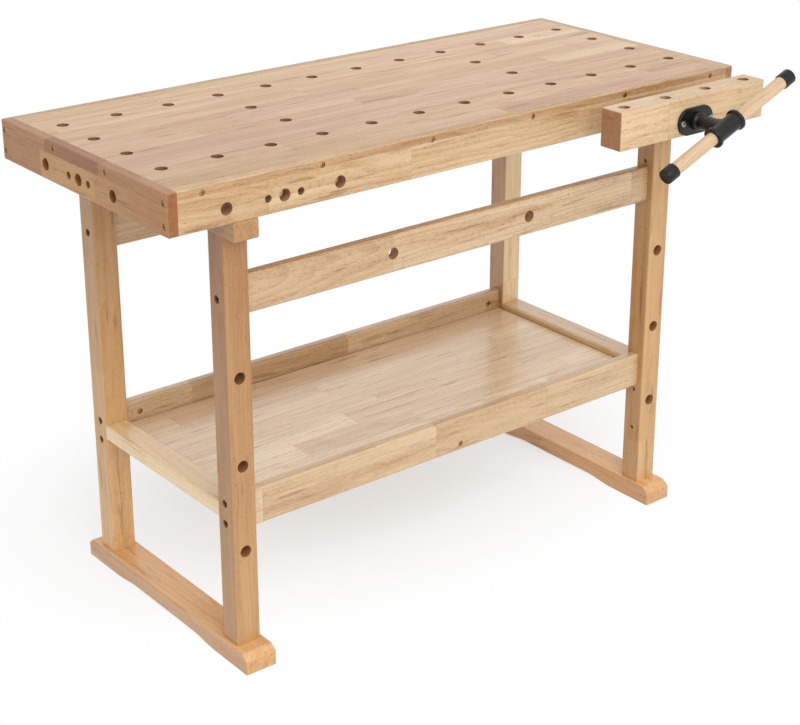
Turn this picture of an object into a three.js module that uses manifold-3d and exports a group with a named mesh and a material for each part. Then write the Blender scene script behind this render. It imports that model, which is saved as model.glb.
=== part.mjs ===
// Woodworking bench with a front vise: a framed top full of dog holes on two sled-footed leg frames,
// a shelf tray low between them, and a twin-rod wooden-jaw vise at the front right.
// Millimetres, +Z up, +X along the bench to the viewer's right, the front towards -Y.
import * as THREE from "three";
import { mergeVertices } from "three/addons/utils/BufferGeometryUtils.js";
import Module from "manifold-3d";

const wasm = await Module();
wasm.setup();

// Bench top: a panel flush inside two aprons and two end boards
const topLength = 1200;
const topDepth = 508;
const topHeight = 845;
const panelThickness = 20;
const frameThickness = 20;
const apronHeight = 68;

// Dog holes in the top: two long rows, and four short columns that hold every row
const dogDiameter = 20;
const dogPitch = 99;
const firstDogInset = 60;
const lastDogInset = 45;
const dogRowPitch = 100;
const frontRowInset = 111;
const lastRowInset = 90;
const fullColumnStepCount = 3;

// Leg frames
const legInset = 113;
const legSetback = 34;
const postWidth = 45;
const postDepth = 42;
const bearerHeight = 32;
const bearerSetback = 1;
const footWidth = 59;
const footHeight = 36;
const footOverhang = 1;
const footEndRadius = 14;
const footReliefDepth = 6;
const footReliefLength = 320;
const footRampLength = 70;
const tenonThickness = 18;
const tenonShoulder = 8;
const footTenonLength = 22;
const bearerTenonLength = 18;
const sideTenonLength = 14;
const sideTenonShoulder = 5;

// Holes in the posts: pegs for long work on the front, and plain pilot holes on the inner faces
const legDogDrop = 336;
const legDogPitch = 152;
const legDogCount = 3;
const pilotHeights = [681, 226, 146];
const pilotDiameter = 7;
const pilotDepth = 12;

// Long rails between the leg frames
const railThickness = 20;
const railSetback = 13;
const stretcherHeight = 66;
const stretcherDrop = 206;
const stretcherDogSpacing = 300;

// Shelf tray: the panel sits in grooves of its front and back rails
const shelfTop = 275;
const shelfThickness = 15;
const shelfGrooveDepth = 8;
const frontLip = 27;
const backLip = 39;
const railDrop = 39;
const sideLip = 11;
const sideStretcherHeight = 28;
const battenWidth = 45;
const battenHeight = 20;

// Knock-down bolts through the posts into barrel nuts in the rails
const boltDiameter = 6;
const boltHeadDiameter = 11;
const boltHeadHeight = 5;
const boltSocketWidth = 5;
const boltSocketDepth = 3;
const boltRecessDiameter = 13;
const boltRecessDepth = 8;
const boltRunOut = 8;
const barrelNutDiameter = 10;
const barrelNutLength = 16;
const barrelNutInset = 30;
const upperShelfBolt = 14;
const lowerShelfBolt = 22;

// Vise: place, jaw and the holes that every vise position shares
const viseInset = 210;
const viseDrop = 43;
const viseGap = 54;
const alternateViseInset = 205;
const endViseOffset = 5;
const jawLength = 355;
const jawDepth = 48;
const jawHeight = 68;
const jawDogCount = 4;
const rodSpacing = 208;
const rodDiameter = 19;
const rodSocketDepth = 32;
const rodReach = 184;
const nutBoltSpacing = 60;
const nutBoltDiameter = 6;
const nutBoltHeadDiameter = 12;
const nutBoltHeadDepth = 5;
const viseHoleDiameter = 20;

// Vise hardware
const screwDiameter = 18;
const screwReach = 174;
const screwSeatDepth = 42;
const flangeLength = 84;
const flangeHeight = 48;
const flangeThickness = 5;
const flangeScrewSpacing = 68;
const flangeScrewDiameter = 5;
const flangeScrewLength = 26;
const flangeScrewHeadDiameter = 10;
const flangeScrewHeadHeight = 3;
const flangeScrewSocketWidth = 4;
const flangeScrewSocketDepth = 2;
const collarDiameter = 34;
const collarLength = 8;
const nutPlateLength = 84;
const nutPlateHeight = 40;
const nutPlateThickness = 6;
const nutBossDiameter = 34;
const nutBossLength = 28;
const nutBossRoot = 5;
const sleeveDiameter = 28;
const sleeveLength = 60;
const sleeveFlangeDiameter = 42;
const sleeveFlangeThickness = 5;

// Handle: a cross hub on the screw, and a wooden bar that slides through it
const hubReach = 64;
const hubBossDiameter = 32;
const hubBossLength = 9;
const neckDiameter = 25;
const hubLength = 63;
const hubDiameter = 31;
const hubRimDiameter = 38;
const hubRimLength = 6;
const hubRimRound = 1.5;
const barDiameter = 23;
const barLength = 320;
const barSlide = 10;
const barTilt = 22.5;
const capDiameter = 27;
const capLength = 24;
const capEndThickness = 3;

// Finish of edges, fits and facets
const edgeRadius = 3;
const edgeEase = 2;
const endBoardEase = 1;
const plateEase = 1;
const jointGap = 0.2;
const fitGap = 0.3;
const cutOverrun = 5;
const weldDistance = 1e-4;
const hexSides = 6;
const dogSides = 16;
const boltSides = 8;
const recessSides = 12;
const turnedSides = 16;
const cornerSteps = 2;
const easeSteps = 1;
const footCurveSteps = 4;
const plateEndSteps = 8;

// Places worked out from the driving dimensions
const apronBottom = topHeight - apronHeight;
const halfDepth = topDepth / 2;
const dogColumns = 1 + Math.floor((topLength - firstDogInset - lastDogInset) / dogPitch);
const dogRows = 1 + Math.floor((topDepth - frontRowInset - lastRowInset) / dogRowPitch);
const legSpan = topLength - 2 * legInset;
const legDepth = topDepth - 2 * legSetback;
const bearerLength = topDepth - 2 * bearerSetback;
const footLength = topDepth + 2 * footOverhang;
const legDogTop = topHeight - legDogDrop;
const stretcherCentre = topHeight - stretcherDrop;
const viseCentre = topLength / 2 - viseInset;
const alternateViseCentre = alternateViseInset - topLength / 2;
const postInner = legSpan / 2 - postWidth;
const postCentreX = legSpan / 2 - postWidth / 2;
const postCentreY = legDepth / 2 - postDepth / 2;
const postTop = apronBottom - jointGap - bearerHeight - jointGap;
const postBottom = footHeight + jointGap;
const railCentreY = legDepth / 2 - railSetback - railThickness / 2;
const railLength = 2 * (postInner - jointGap);
const sideLength = 2 * (postCentreY - postDepth / 2 - jointGap);
const sideTop = shelfTop + sideLip;
const shelfRailBottom = shelfTop - railDrop;
const shelfBoltHeights = [shelfTop + upperShelfBolt, shelfTop - lowerShelfBolt];
const boltHeights = [stretcherCentre, ...shelfBoltHeights];
const viseHeight = topHeight - viseDrop;
const jawFront = viseGap + jawDepth;
const flangeFront = jawFront + jointGap + flangeThickness;
const hubCentre = flangeFront + hubReach;
const frontReach = halfDepth + hubCentre + hubRimDiameter / 2;
const backReach = Math.max(topDepth, footLength) / 2;

// Finishes
function finish(color, roughness, metalness) {
  return new THREE.MeshStandardMaterial({ color, roughness, metalness });
}

const honeyWood = finish(0xd9b98c, 0.42, 0);
const shelfWood = finish(0xdcc09a, 0.3, 0);
const legWood = finish(0xd0a878, 0.45, 0);
const barWood = finish(0xe2c9a3, 0.6, 0);
const blackIron = finish(0x1d1d1f, 0.55, 0.3);
const blackRubber = finish(0x17171a, 0.75, 0);
const brightSteel = finish(0xb9bcc0, 0.3, 1);

// A closed solid from a three.js geometry, with its doubled vertices merged
function solidOf(geometry) {
  const bare = geometry.clone();
  bare.deleteAttribute("normal");
  bare.deleteAttribute("uv");
  const merged = mergeVertices(bare, weldDistance);
  const vertProperties = new Float32Array(merged.attributes.position.array);
  const triVerts = new Uint32Array(merged.index.array);
  return new wasm.Manifold(new wasm.Mesh({ numProp: 3, vertProperties, triVerts }));
}

// The three.js geometry of a cut or joined solid
function geometryOf(solid) {
  const mesh = solid.getMesh();
  const geometry = new THREE.BufferGeometry();
  geometry.setAttribute("position", new THREE.BufferAttribute(new Float32Array(mesh.vertProperties), 3));
  geometry.setIndex(new THREE.BufferAttribute(new Uint32Array(mesh.triVerts), 1));
  geometry.computeVertexNormals();
  return geometry;
}

// Turns a geometry built along +Z so that it runs along the named axis, keeping it right-handed
const turnTo = {
  x: new THREE.Matrix4().makeBasis(
    new THREE.Vector3(0, 1, 0), new THREE.Vector3(0, 0, 1), new THREE.Vector3(1, 0, 0)),
  y: new THREE.Matrix4().makeBasis(
    new THREE.Vector3(0, 0, 1), new THREE.Vector3(1, 0, 0), new THREE.Vector3(0, 1, 0)),
  z: new THREE.Matrix4(),
};

// A rectangle about the origin whose corners are rounded one by one: low-low, high-low, high-high, low-high
function roundedRectangle(width, height, radii) {
  const [a, b, c, d] = radii;
  const x = width / 2;
  const y = height / 2;
  const shape = new THREE.Shape();
  shape.moveTo(-x + a, -y);
  shape.lineTo(x - b, -y);
  if (b > 0) shape.absarc(x - b, -y + b, b, -Math.PI / 2, 0, false);
  shape.lineTo(x, y - c);
  if (c > 0) shape.absarc(x - c, y - c, c, 0, Math.PI / 2, false);
  shape.lineTo(-x + d, y);
  if (d > 0) shape.absarc(-x + d, y - d, d, Math.PI / 2, Math.PI, false);
  shape.lineTo(-x, -y + a);
  if (a > 0) shape.absarc(-x + a, -y + a, a, Math.PI, 1.5 * Math.PI, false);
  return shape;
}

// A profile carried along an axis, centred on the origin, with its two ends eased
function extrusion(axis, shape, length, ease, curveSegments = cornerSteps) {
  const geometry = new THREE.ExtrudeGeometry(shape, {
    depth: length - 2 * ease,
    bevelEnabled: ease > 0,
    bevelThickness: ease,
    bevelSize: ease,
    bevelOffset: -ease,
    bevelSegments: easeSteps,
    curveSegments,
  });
  geometry.translate(0, 0, ease - length / 2);
  return geometry.applyMatrix4(turnTo[axis]);
}

// A planed board with every edge eased; the profile's two sides follow the axis in the order X, Y, Z
function easedBoard(axis, length, width, height) {
  const all = [edgeRadius, edgeRadius, edgeRadius, edgeRadius];
  return extrusion(axis, roundedRectangle(width, height, all), length, edgeEase);
}

// A round bar along an axis from one station to another, through the point given by the other two coordinates
function roundBar(axis, diameter, start, end, across, sides) {
  const geometry = new THREE.CylinderGeometry(diameter / 2, diameter / 2, end - start, sides);
  geometry.rotateX(Math.PI / 2);
  geometry.applyMatrix4(turnTo[axis]);
  const middle = (start + end) / 2;
  const place = { x: [middle, ...across], y: [across[0], middle, across[1]], z: [...across, middle] };
  return geometry.translate(...place[axis]);
}

// A turned piece about an axis; the profile lists radius and station, from one end of the axis to the other
function turned(axis, profile, sides = turnedSides) {
  const points = profile.map(([radius, station]) => new THREE.Vector2(radius, station));
  const geometry = new THREE.LatheGeometry(points, sides);
  geometry.rotateX(Math.PI / 2);
  return geometry.applyMatrix4(turnTo[axis]);
}

function block(width, depth, height, centre) {
  return new THREE.BoxGeometry(width, depth, height).translate(...centre);
}

const cut = (solid, geometry) => solid.subtract(solidOf(geometry));
const join = (solid, geometry) => solid.add(solidOf(geometry));

// Adds one named piece to a group, from a geometry or from a cut solid
function addPiece(group, name, form, material, position = [0, 0, 0]) {
  const geometry = form.isBufferGeometry ? form : geometryOf(form);
  const mesh = new THREE.Mesh(geometry, material);
  mesh.name = name;
  mesh.position.set(...position);
  group.add(mesh);
  return mesh;
}

const sides = [["left", -1], ["right", 1]];
const ends = [["front", -1], ["rear", 1]];

// The five holes of a vise position, cut through a board along an axis: screw, two rods, two nut bolts
function cutViseHoles(solid, axis, place, face, depthSign, centre) {
  const far = face + depthSign * (frameThickness + cutOverrun);
  const near = face - depthSign * cutOverrun;
  const span = [Math.min(near, far), Math.max(near, far)];
  const offsets = [-rodSpacing / 2, 0, rodSpacing / 2];
  for (const offset of offsets) {
    solid = cut(solid, roundBar(axis, viseHoleDiameter, ...span, place(centre + offset), dogSides));
  }
  const seat = [near, face + depthSign * nutBoltHeadDepth].sort((one, other) => one - other);
  for (const offset of [-nutBoltSpacing / 2, nutBoltSpacing / 2]) {
    const across = place(centre + offset);
    solid = cut(solid, roundBar(axis, nutBoltDiameter + 2 * fitGap, ...span, across, boltSides));
    solid = cut(solid, roundBar(axis, nutBoltHeadDiameter, ...seat, across, boltSides));
  }
  return solid;
}

function dogPlaces() {
  const places = [];
  for (let column = 0; column < dogColumns; column += 1) {
    const x = -topLength / 2 + firstDogInset + column * dogPitch;
    const fromEnd = Math.min(column, dogColumns - 1 - column);
    const full = fromEnd === 0 || fromEnd === fullColumnStepCount;
    for (let row = 0; row < dogRows; row += 1) {
      const outer = row === 0 || row === dogRows - 1;
      if (full || outer) places.push([x, -halfDepth + frontRowInset + row * dogRowPitch]);
    }
  }
  return places;
}

function addTop(group) {
  const apronLength = topLength - 2 * (frameThickness + jointGap);
  const panelDepth = topDepth - 2 * (frameThickness + jointGap);
  const panelZ = topHeight - panelThickness / 2;
  let panel = solidOf(block(apronLength, panelDepth, panelThickness, [0, 0, panelZ]));
  for (const [x, y] of dogPlaces()) {
    const span = [topHeight - panelThickness - cutOverrun, topHeight + cutOverrun];
    panel = cut(panel, roundBar("z", dogDiameter, ...span, [x, y], dogSides));
  }
  addPiece(group, "top_panel", panel, honeyWood);

  const apronZ = topHeight - apronHeight / 2;
  const apronPlace = (x) => [x, viseHeight];
  for (const [name, sign] of [["front_apron", -1], ["back_apron", 1]]) {
    const radii = sign < 0 ? [edgeRadius, 0, 0, edgeRadius] : [0, edgeRadius, edgeRadius, 0];
    const profile = roundedRectangle(frameThickness, apronHeight, radii);
    const board = extrusion("x", profile, apronLength, 0);
    let apron = solidOf(board.translate(0, sign * (halfDepth - frameThickness / 2), apronZ));
    if (sign < 0) {
      for (const centre of [viseCentre, alternateViseCentre]) {
        apron = cutViseHoles(apron, "y", apronPlace, -halfDepth, 1, centre);
      }
    }
    addPiece(group, name, apron, honeyWood);
  }

  const endPlace = (y) => [y, viseHeight];
  for (const [side, sign] of sides) {
    const radii = sign < 0 ? [edgeRadius, edgeRadius, 0, 0] : [0, 0, edgeRadius, edgeRadius];
    const profile = roundedRectangle(apronHeight, frameThickness, radii);
    const board = extrusion("y", profile, topDepth, endBoardEase);
    const outer = topLength / 2;
    let end = solidOf(board.translate(sign * (outer - frameThickness / 2), 0, apronZ));
    if (sign < 0) end = cutViseHoles(end, "x", endPlace, -outer, 1, endViseOffset);
    addPiece(group, `${side}_end_board`, end, honeyWood);
  }
}

// A sled foot's side outline in Y and Z: rounded top ends, and a relief with two soft ramps below
function footOutline() {
  const half = footLength / 2;
  const relief = footReliefLength / 2;
  const flat = relief - footRampLength;
  const ramp = relief - footRampLength / 2;
  const corner = half - footEndRadius;
  const shoulder = footHeight - footEndRadius;
  const shape = new THREE.Shape();
  shape.moveTo(-half, 0);
  shape.lineTo(-relief, 0);
  shape.bezierCurveTo(-ramp, 0, -ramp, footReliefDepth, -flat, footReliefDepth);
  shape.lineTo(flat, footReliefDepth);
  shape.bezierCurveTo(ramp, footReliefDepth, ramp, 0, relief, 0);
  shape.lineTo(half, 0);
  shape.lineTo(half, shoulder);
  shape.absarc(corner, shoulder, footEndRadius, 0, Math.PI / 2, false);
  shape.lineTo(-corner, footHeight);
  shape.absarc(-corner, shoulder, footEndRadius, Math.PI / 2, Math.PI, false);
  shape.lineTo(-half, 0);
  return shape;
}

function addFeetAndBearers(group) {
  const tenonWidth = postWidth - 2 * tenonShoulder;
  for (const [side, sign] of sides) {
    const x = sign * postCentreX;
    const outline = extrusion("x", footOutline(), footWidth, edgeEase, footCurveSteps);
    let foot = solidOf(outline.translate(x, 0, 0));
    const bearerZ = apronBottom - jointGap - bearerHeight / 2;
    const beam = easedBoard("y", bearerLength, bearerHeight, postWidth);
    let bearer = solidOf(beam.translate(x, 0, bearerZ));
    for (const end of [-1, 1]) {
      const y = end * postCentreY;
      const mortise = [tenonWidth + 2 * fitGap, tenonThickness + 2 * fitGap];
      const footCut = footTenonLength + fitGap + cutOverrun;
      const bearerCut = bearerTenonLength + fitGap + cutOverrun;
      const footCutZ = footHeight + cutOverrun - footCut / 2;
      const bearerCutZ = bearerZ - bearerHeight / 2 - cutOverrun + bearerCut / 2;
      foot = cut(foot, block(...mortise, footCut, [x, y, footCutZ]));
      bearer = cut(bearer, block(...mortise, bearerCut, [x, y, bearerCutZ]));
    }
    addPiece(group, `${side}_foot`, foot, legWood);
    addPiece(group, `${side}_bearer`, bearer, legWood);
  }
}

function addPosts(group) {
  const tenonWidth = postWidth - 2 * tenonShoulder;
  const height = postTop - postBottom;
  const sideTenonHeight = sideStretcherHeight - 2 * sideTenonShoulder;
  const sideZ = sideTop - sideStretcherHeight / 2;
  for (const [end, depthSign] of ends) {
    for (const [side, sign] of sides) {
      const x = sign * postCentreX;
      const y = depthSign * postCentreY;
      const stock = easedBoard("z", height, postWidth, postDepth).translate(x, y, postBottom + height / 2);
      let post = solidOf(stock);
      post = join(post, block(tenonWidth, tenonThickness, footTenonLength + edgeEase + jointGap,
        [x, y, postBottom - (footTenonLength - edgeEase + jointGap) / 2]));
      post = join(post, block(tenonWidth, tenonThickness, bearerTenonLength + edgeEase,
        [x, y, postTop + (bearerTenonLength - edgeEase) / 2]));
      const inner = y - depthSign * postDepth / 2;
      const mortiseLength = sideTenonLength + fitGap + cutOverrun;
      const mortiseY = inner + depthSign * (mortiseLength / 2 - cutOverrun);
      post = cut(post, block(tenonWidth + 2 * fitGap, mortiseLength, sideTenonHeight + 2 * fitGap,
        [x, mortiseY, sideZ]));
      post = cutPostHoles(post, sign, depthSign, x, y);
      addPiece(group, `${end}_${side}_post`, post, legWood);
    }
  }
}

// Bolt holes with head recesses, pilot holes on the inner face, and the peg holes of a front post
function cutPostHoles(post, sign, depthSign, x, y) {
  const outer = sign * legSpan / 2;
  const inner = sign * postInner;
  const ordered = (one, other) => [Math.min(one, other), Math.max(one, other)];
  const boltY = depthSign * railCentreY;
  for (const z of boltHeights) {
    const through = ordered(outer + sign * cutOverrun, inner - sign * cutOverrun);
    const recess = ordered(outer + sign * cutOverrun, outer - sign * boltRecessDepth);
    post = cut(post, roundBar("x", boltDiameter + 2 * fitGap, ...through, [boltY, z], boltSides));
    post = cut(post, roundBar("x", boltRecessDiameter, ...recess, [boltY, z], recessSides));
  }
  for (const z of pilotHeights) {
    const blind = ordered(inner - sign * cutOverrun, inner + sign * pilotDepth);
    post = cut(post, roundBar("x", pilotDiameter, ...blind, [y, z], boltSides));
  }
  if (depthSign < 0) {
    const through = [y - postDepth / 2 - cutOverrun, y + postDepth / 2 + cutOverrun];
    for (let hole = 0; hole < legDogCount; hole += 1) {
      const z = legDogTop - hole * legDogPitch;
      post = cut(post, roundBar("y", dogDiameter, ...through, [x, z], dogSides));
    }
  }
  return post;
}

function addSideStretchers(group) {
  const tenonWidth = postWidth - 2 * tenonShoulder;
  const tenonHeight = sideStretcherHeight - 2 * sideTenonShoulder;
  const z = sideTop - sideStretcherHeight / 2;
  const tenonReach = sideLength + 2 * (sideTenonLength + jointGap);
  for (const [side, sign] of sides) {
    const x = sign * postCentreX;
    const beam = easedBoard("y", sideLength, sideStretcherHeight, postWidth).translate(x, 0, z);
    const stretcher = join(solidOf(beam), block(tenonWidth, tenonReach, tenonHeight, [x, 0, z]));
    addPiece(group, `${side}_side_stretcher`, stretcher, legWood);
  }
}

// Bolt and barrel-nut holes in both ends of a rail; the barrel nuts go in from the inner face
function cutRailJoints(rail, depthSign, heights) {
  const y = depthSign * railCentreY;
  const innerFace = y - depthSign * railThickness / 2;
  const blindEnd = y + depthSign * (barrelNutLength / 2 + fitGap);
  const barrelSpan = [innerFace - depthSign * cutOverrun, blindEnd].sort((one, other) => one - other);
  for (const sign of [-1, 1]) {
    const boltEnd = postInner - barrelNutInset - boltRunOut - fitGap;
    const boltSpan = [sign * (postInner + cutOverrun), sign * boltEnd].sort((one, other) => one - other);
    const barrelX = sign * (postInner - barrelNutInset);
    for (const z of heights) {
      rail = cut(rail, roundBar("x", boltDiameter + 2 * fitGap, ...boltSpan, [y, z], boltSides));
      rail = cut(rail, roundBar("y", barrelNutDiameter + 2 * fitGap, ...barrelSpan, [barrelX, z], boltSides));
    }
  }
  return rail;
}

function addUpperStretchers(group) {
  for (const [end, depthSign] of ends) {
    const y = depthSign * railCentreY;
    const beam = easedBoard("x", railLength, railThickness, stretcherHeight).translate(0, y, stretcherCentre);
    let rail = cutRailJoints(solidOf(beam), depthSign, [stretcherCentre]);
    if (depthSign < 0) {
      const through = [y - railThickness / 2 - cutOverrun, y + railThickness / 2 + cutOverrun];
      for (const x of [-stretcherDogSpacing / 2, stretcherDogSpacing / 2]) {
        rail = cut(rail, roundBar("y", dogDiameter, ...through, [x, stretcherCentre], dogSides));
      }
    }
    addPiece(group, `${end}_upper_stretcher`, rail, honeyWood);
  }
}

function addShelf(group) {
  const rails = [["front", -1, frontLip], ["back", 1, backLip]];
  const grooveHeight = shelfThickness + 2 * jointGap;
  const grooveZ = shelfTop - shelfThickness / 2;
  const innerSpan = 2 * (railCentreY - railThickness / 2);
  for (const [end, depthSign, lip] of rails) {
    const height = lip + railDrop;
    const y = depthSign * railCentreY;
    const z = shelfRailBottom + height / 2;
    const beam = easedBoard("x", railLength, railThickness, height).translate(0, y, z);
    const grooveWidth = 2 * shelfGrooveDepth;
    const grooveY = depthSign * innerSpan / 2;
    const groove = block(railLength + 2 * cutOverrun, grooveWidth, grooveHeight, [0, grooveY, grooveZ]);
    const rail = cutRailJoints(cut(solidOf(beam), groove), depthSign, shelfBoltHeights);
    addPiece(group, `shelf_${end}_rail`, rail, honeyWood);
  }
  const panelDepth = innerSpan + 2 * (shelfGrooveDepth - fitGap);
  addPiece(group, "shelf_panel", block(railLength, panelDepth, shelfThickness, [0, 0, grooveZ]), shelfWood);
  const battenZ = shelfTop - shelfThickness - jointGap - battenHeight / 2;
  const batten = easedBoard("y", innerSpan - 2 * jointGap, battenHeight, battenWidth);
  addPiece(group, "shelf_batten", batten.translate(0, 0, battenZ), honeyWood);
}

// A socket-head bolt along +X from its head face at the origin, with a hexagonal socket
function socketBolt(headDiameter, headHeight, shankDiameter, length, socketWidth, socketDepth) {
  const profile = [
    [0, 0], [headDiameter / 2, 0], [headDiameter / 2, headHeight], [shankDiameter / 2, headHeight],
    [shankDiameter / 2, length], [0, length],
  ];
  const hexDiameter = 2 * socketWidth / Math.sqrt(3);
  const socket = roundBar("x", hexDiameter, -cutOverrun, socketDepth, [0, 0], hexSides);
  return geometryOf(cut(solidOf(turned("x", profile, boltSides)), socket));
}

function addFrameBolts(group) {
  const levels = ["stretcher", "shelf_upper", "shelf_lower"];
  const length = postWidth - boltRecessDepth + boltHeadHeight + barrelNutInset + boltRunOut;
  const bolt = socketBolt(
    boltHeadDiameter, boltHeadHeight, boltDiameter, length, boltSocketWidth, boltSocketDepth);
  const nut = barrelNut();
  for (const [end, depthSign] of ends) {
    for (const [side, sign] of sides) {
      levels.forEach((level, index) => {
        const y = depthSign * railCentreY;
        const z = boltHeights[index];
        const headX = sign * (legSpan / 2 - boltRecessDepth + fitGap + boltHeadHeight);
        const placed = addPiece(group, `bolt_${end}_${side}_${level}`, bolt, brightSteel, [headX, y, z]);
        if (sign > 0) placed.rotation.z = Math.PI;
        const nutX = sign * (postInner - barrelNutInset);
        addPiece(group, `barrel_nut_${end}_${side}_${level}`, nut, brightSteel, [nutX, y, z]);
      });
    }
  }
}

// A cross dowel along Y with a cross hole for its bolt
function barrelNut() {
  const half = barrelNutLength / 2;
  const body = solidOf(roundBar("y", barrelNutDiameter, -half, half, [0, 0], boltSides));
  const span = [-barrelNutDiameter, barrelNutDiameter];
  const hole = roundBar("x", boltDiameter + 2 * fitGap, ...span, [0, 0], boltSides);
  return geometryOf(cut(body, hole));
}

// A flat plate with round ends, standing in the XZ plane with its back face at y = 0
function stadiumPlate(length, height, thickness, ease) {
  const radius = height / 2;
  const reach = length / 2 - radius;
  const shape = new THREE.Shape();
  shape.absarc(0, reach, radius, 0, Math.PI, false);
  shape.absarc(0, -reach, radius, Math.PI, 2 * Math.PI, false);
  shape.closePath();
  return extrusion("y", shape, thickness, ease, plateEndSteps).translate(0, -thickness / 2, 0);
}

// The fixed half of the vise behind the apron: the nut plate and the two rod sleeves
function addViseBody(group) {
  const inside = frameThickness + jointGap;
  let plate = solidOf(stadiumPlate(nutPlateLength, nutPlateHeight, nutPlateThickness, 0));
  plate = plate.translate([0, inside + nutPlateThickness, 0]);
  const bossStart = inside + nutPlateThickness - nutBossRoot;
  const bossEnd = inside + nutPlateThickness + nutBossLength;
  plate = join(plate, roundBar("y", nutBossDiameter, bossStart, bossEnd, [0, 0], turnedSides));
  const clear = [0, bossEnd + cutOverrun];
  plate = cut(plate, roundBar("y", screwDiameter + 2 * fitGap, ...clear, [0, 0], dogSides));
  for (const x of [-nutBoltSpacing / 2, nutBoltSpacing / 2]) {
    plate = cut(plate, roundBar("y", nutBoltDiameter + 2 * fitGap, ...clear, [x, 0], boltSides));
  }
  addPiece(group, "vise_nut_plate", plate, blackIron);

  const bore = rodDiameter / 2 + fitGap;
  const tube = sleeveDiameter / 2;
  const disc = sleeveFlangeDiameter / 2;
  const shoulder = inside + sleeveFlangeThickness;
  const end = inside + sleeveLength;
  const profile = [
    [bore, inside], [disc, inside], [disc, shoulder], [tube, shoulder], [tube, end], [bore, end],
    [bore, inside],
  ];
  for (const [side, sign] of sides) {
    addPiece(group, `rod_sleeve_${side}`, turned("y", profile), blackIron, [sign * rodSpacing / 2, 0, 0]);
  }
}

function addJaw(group) {
  const topOffset = viseDrop - jawHeight / 2;
  const stock = easedBoard("x", jawLength, jawDepth, jawHeight);
  let jaw = solidOf(stock.translate(0, -viseGap - jawDepth / 2, topOffset));
  const dogSpan = [topOffset - jawHeight / 2 - cutOverrun, topOffset + jawHeight / 2 + cutOverrun];
  for (let hole = 0; hole < jawDogCount; hole += 1) {
    const x = (hole - (jawDogCount - 1) / 2) * dogPitch;
    jaw = cut(jaw, roundBar("z", dogDiameter, ...dogSpan, [x, -viseGap - jawDepth / 2], dogSides));
  }
  const through = [-jawFront - cutOverrun, -viseGap + cutOverrun];
  jaw = cut(jaw, roundBar("y", viseHoleDiameter, ...through, [0, 0], dogSides));
  const collarPocket = [-jawFront - cutOverrun, -jawFront + collarLength + 2 * fitGap];
  jaw = cut(jaw, roundBar("y", collarDiameter + 4 * fitGap, ...collarPocket, [0, 0], turnedSides));
  for (const sign of [-1, 1]) {
    const socket = [-viseGap - rodSocketDepth, -viseGap + cutOverrun];
    const pilot = [-jawFront - cutOverrun, -jawFront - jointGap + flangeScrewLength + fitGap];
    jaw = cut(jaw, roundBar("y", rodDiameter + 2 * fitGap, ...socket, [sign * rodSpacing / 2, 0], dogSides));
    const across = [sign * flangeScrewSpacing / 2, 0];
    jaw = cut(jaw, roundBar("y", flangeScrewDiameter + 2 * fitGap, ...pilot, across, boltSides));
  }
  addPiece(group, "vise_jaw", jaw, honeyWood);
  for (const [side, sign] of sides) {
    const span = [-viseGap - rodSocketDepth + fitGap, rodReach];
    const rod = roundBar("y", rodDiameter, ...span, [sign * rodSpacing / 2, 0], dogSides);
    addPiece(group, `guide_rod_${side}`, rod, brightSteel);
  }
  addJawFlange(group);
}

// The screw's bearing plate on the jaw's front, held by two socket screws
function addJawFlange(group) {
  const back = -jawFront - jointGap;
  let flange = solidOf(stadiumPlate(flangeLength, flangeHeight, flangeThickness, plateEase));
  flange = flange.translate([0, back, 0]);
  const through = [back - flangeThickness - cutOverrun, back + cutOverrun];
  flange = cut(flange, roundBar("y", screwDiameter + 2 * fitGap, ...through, [0, 0], dogSides));
  for (const sign of [-1, 1]) {
    const across = [sign * flangeScrewSpacing / 2, 0];
    flange = cut(flange, roundBar("y", flangeScrewDiameter + 2 * fitGap, ...through, across, boltSides));
  }
  addPiece(group, "jaw_flange", flange, blackIron);
  const length = flangeScrewHeadHeight + flangeScrewLength;
  const screw = socketBolt(flangeScrewHeadDiameter, flangeScrewHeadHeight, flangeScrewDiameter, length,
    flangeScrewSocketWidth, flangeScrewSocketDepth);
  const headY = back - flangeThickness - fitGap - flangeScrewHeadHeight;
  for (const [side, sign] of sides) {
    const place = [sign * flangeScrewSpacing / 2, headY, 0];
    const placed = addPiece(group, `flange_screw_${side}`, screw, brightSteel, place);
    placed.rotation.z = Math.PI / 2;
  }
}

function addScrew(group) {
  const seatEnd = -flangeFront - screwSeatDepth;
  const thread = screwDiameter / 2;
  const tip = thread - edgeEase;
  const profile = [
    [0, seatEnd], [thread, seatEnd], [thread, screwReach - edgeEase], [tip, screwReach], [0, screwReach],
  ];
  addPiece(group, "vise_screw", turned("y", profile, dogSides), brightSteel);

  const inner = thread + fitGap;
  const outer = collarDiameter / 2;
  const near = -jawFront + fitGap;
  const far = near + collarLength;
  const ring = [[inner, near], [outer, near], [outer, far], [inner, far], [inner, near]];
  addPiece(group, "screw_collar", turned("y", ring), brightSteel);
  addPiece(group, "screw_hub", hubCasting(), blackIron);
}

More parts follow.
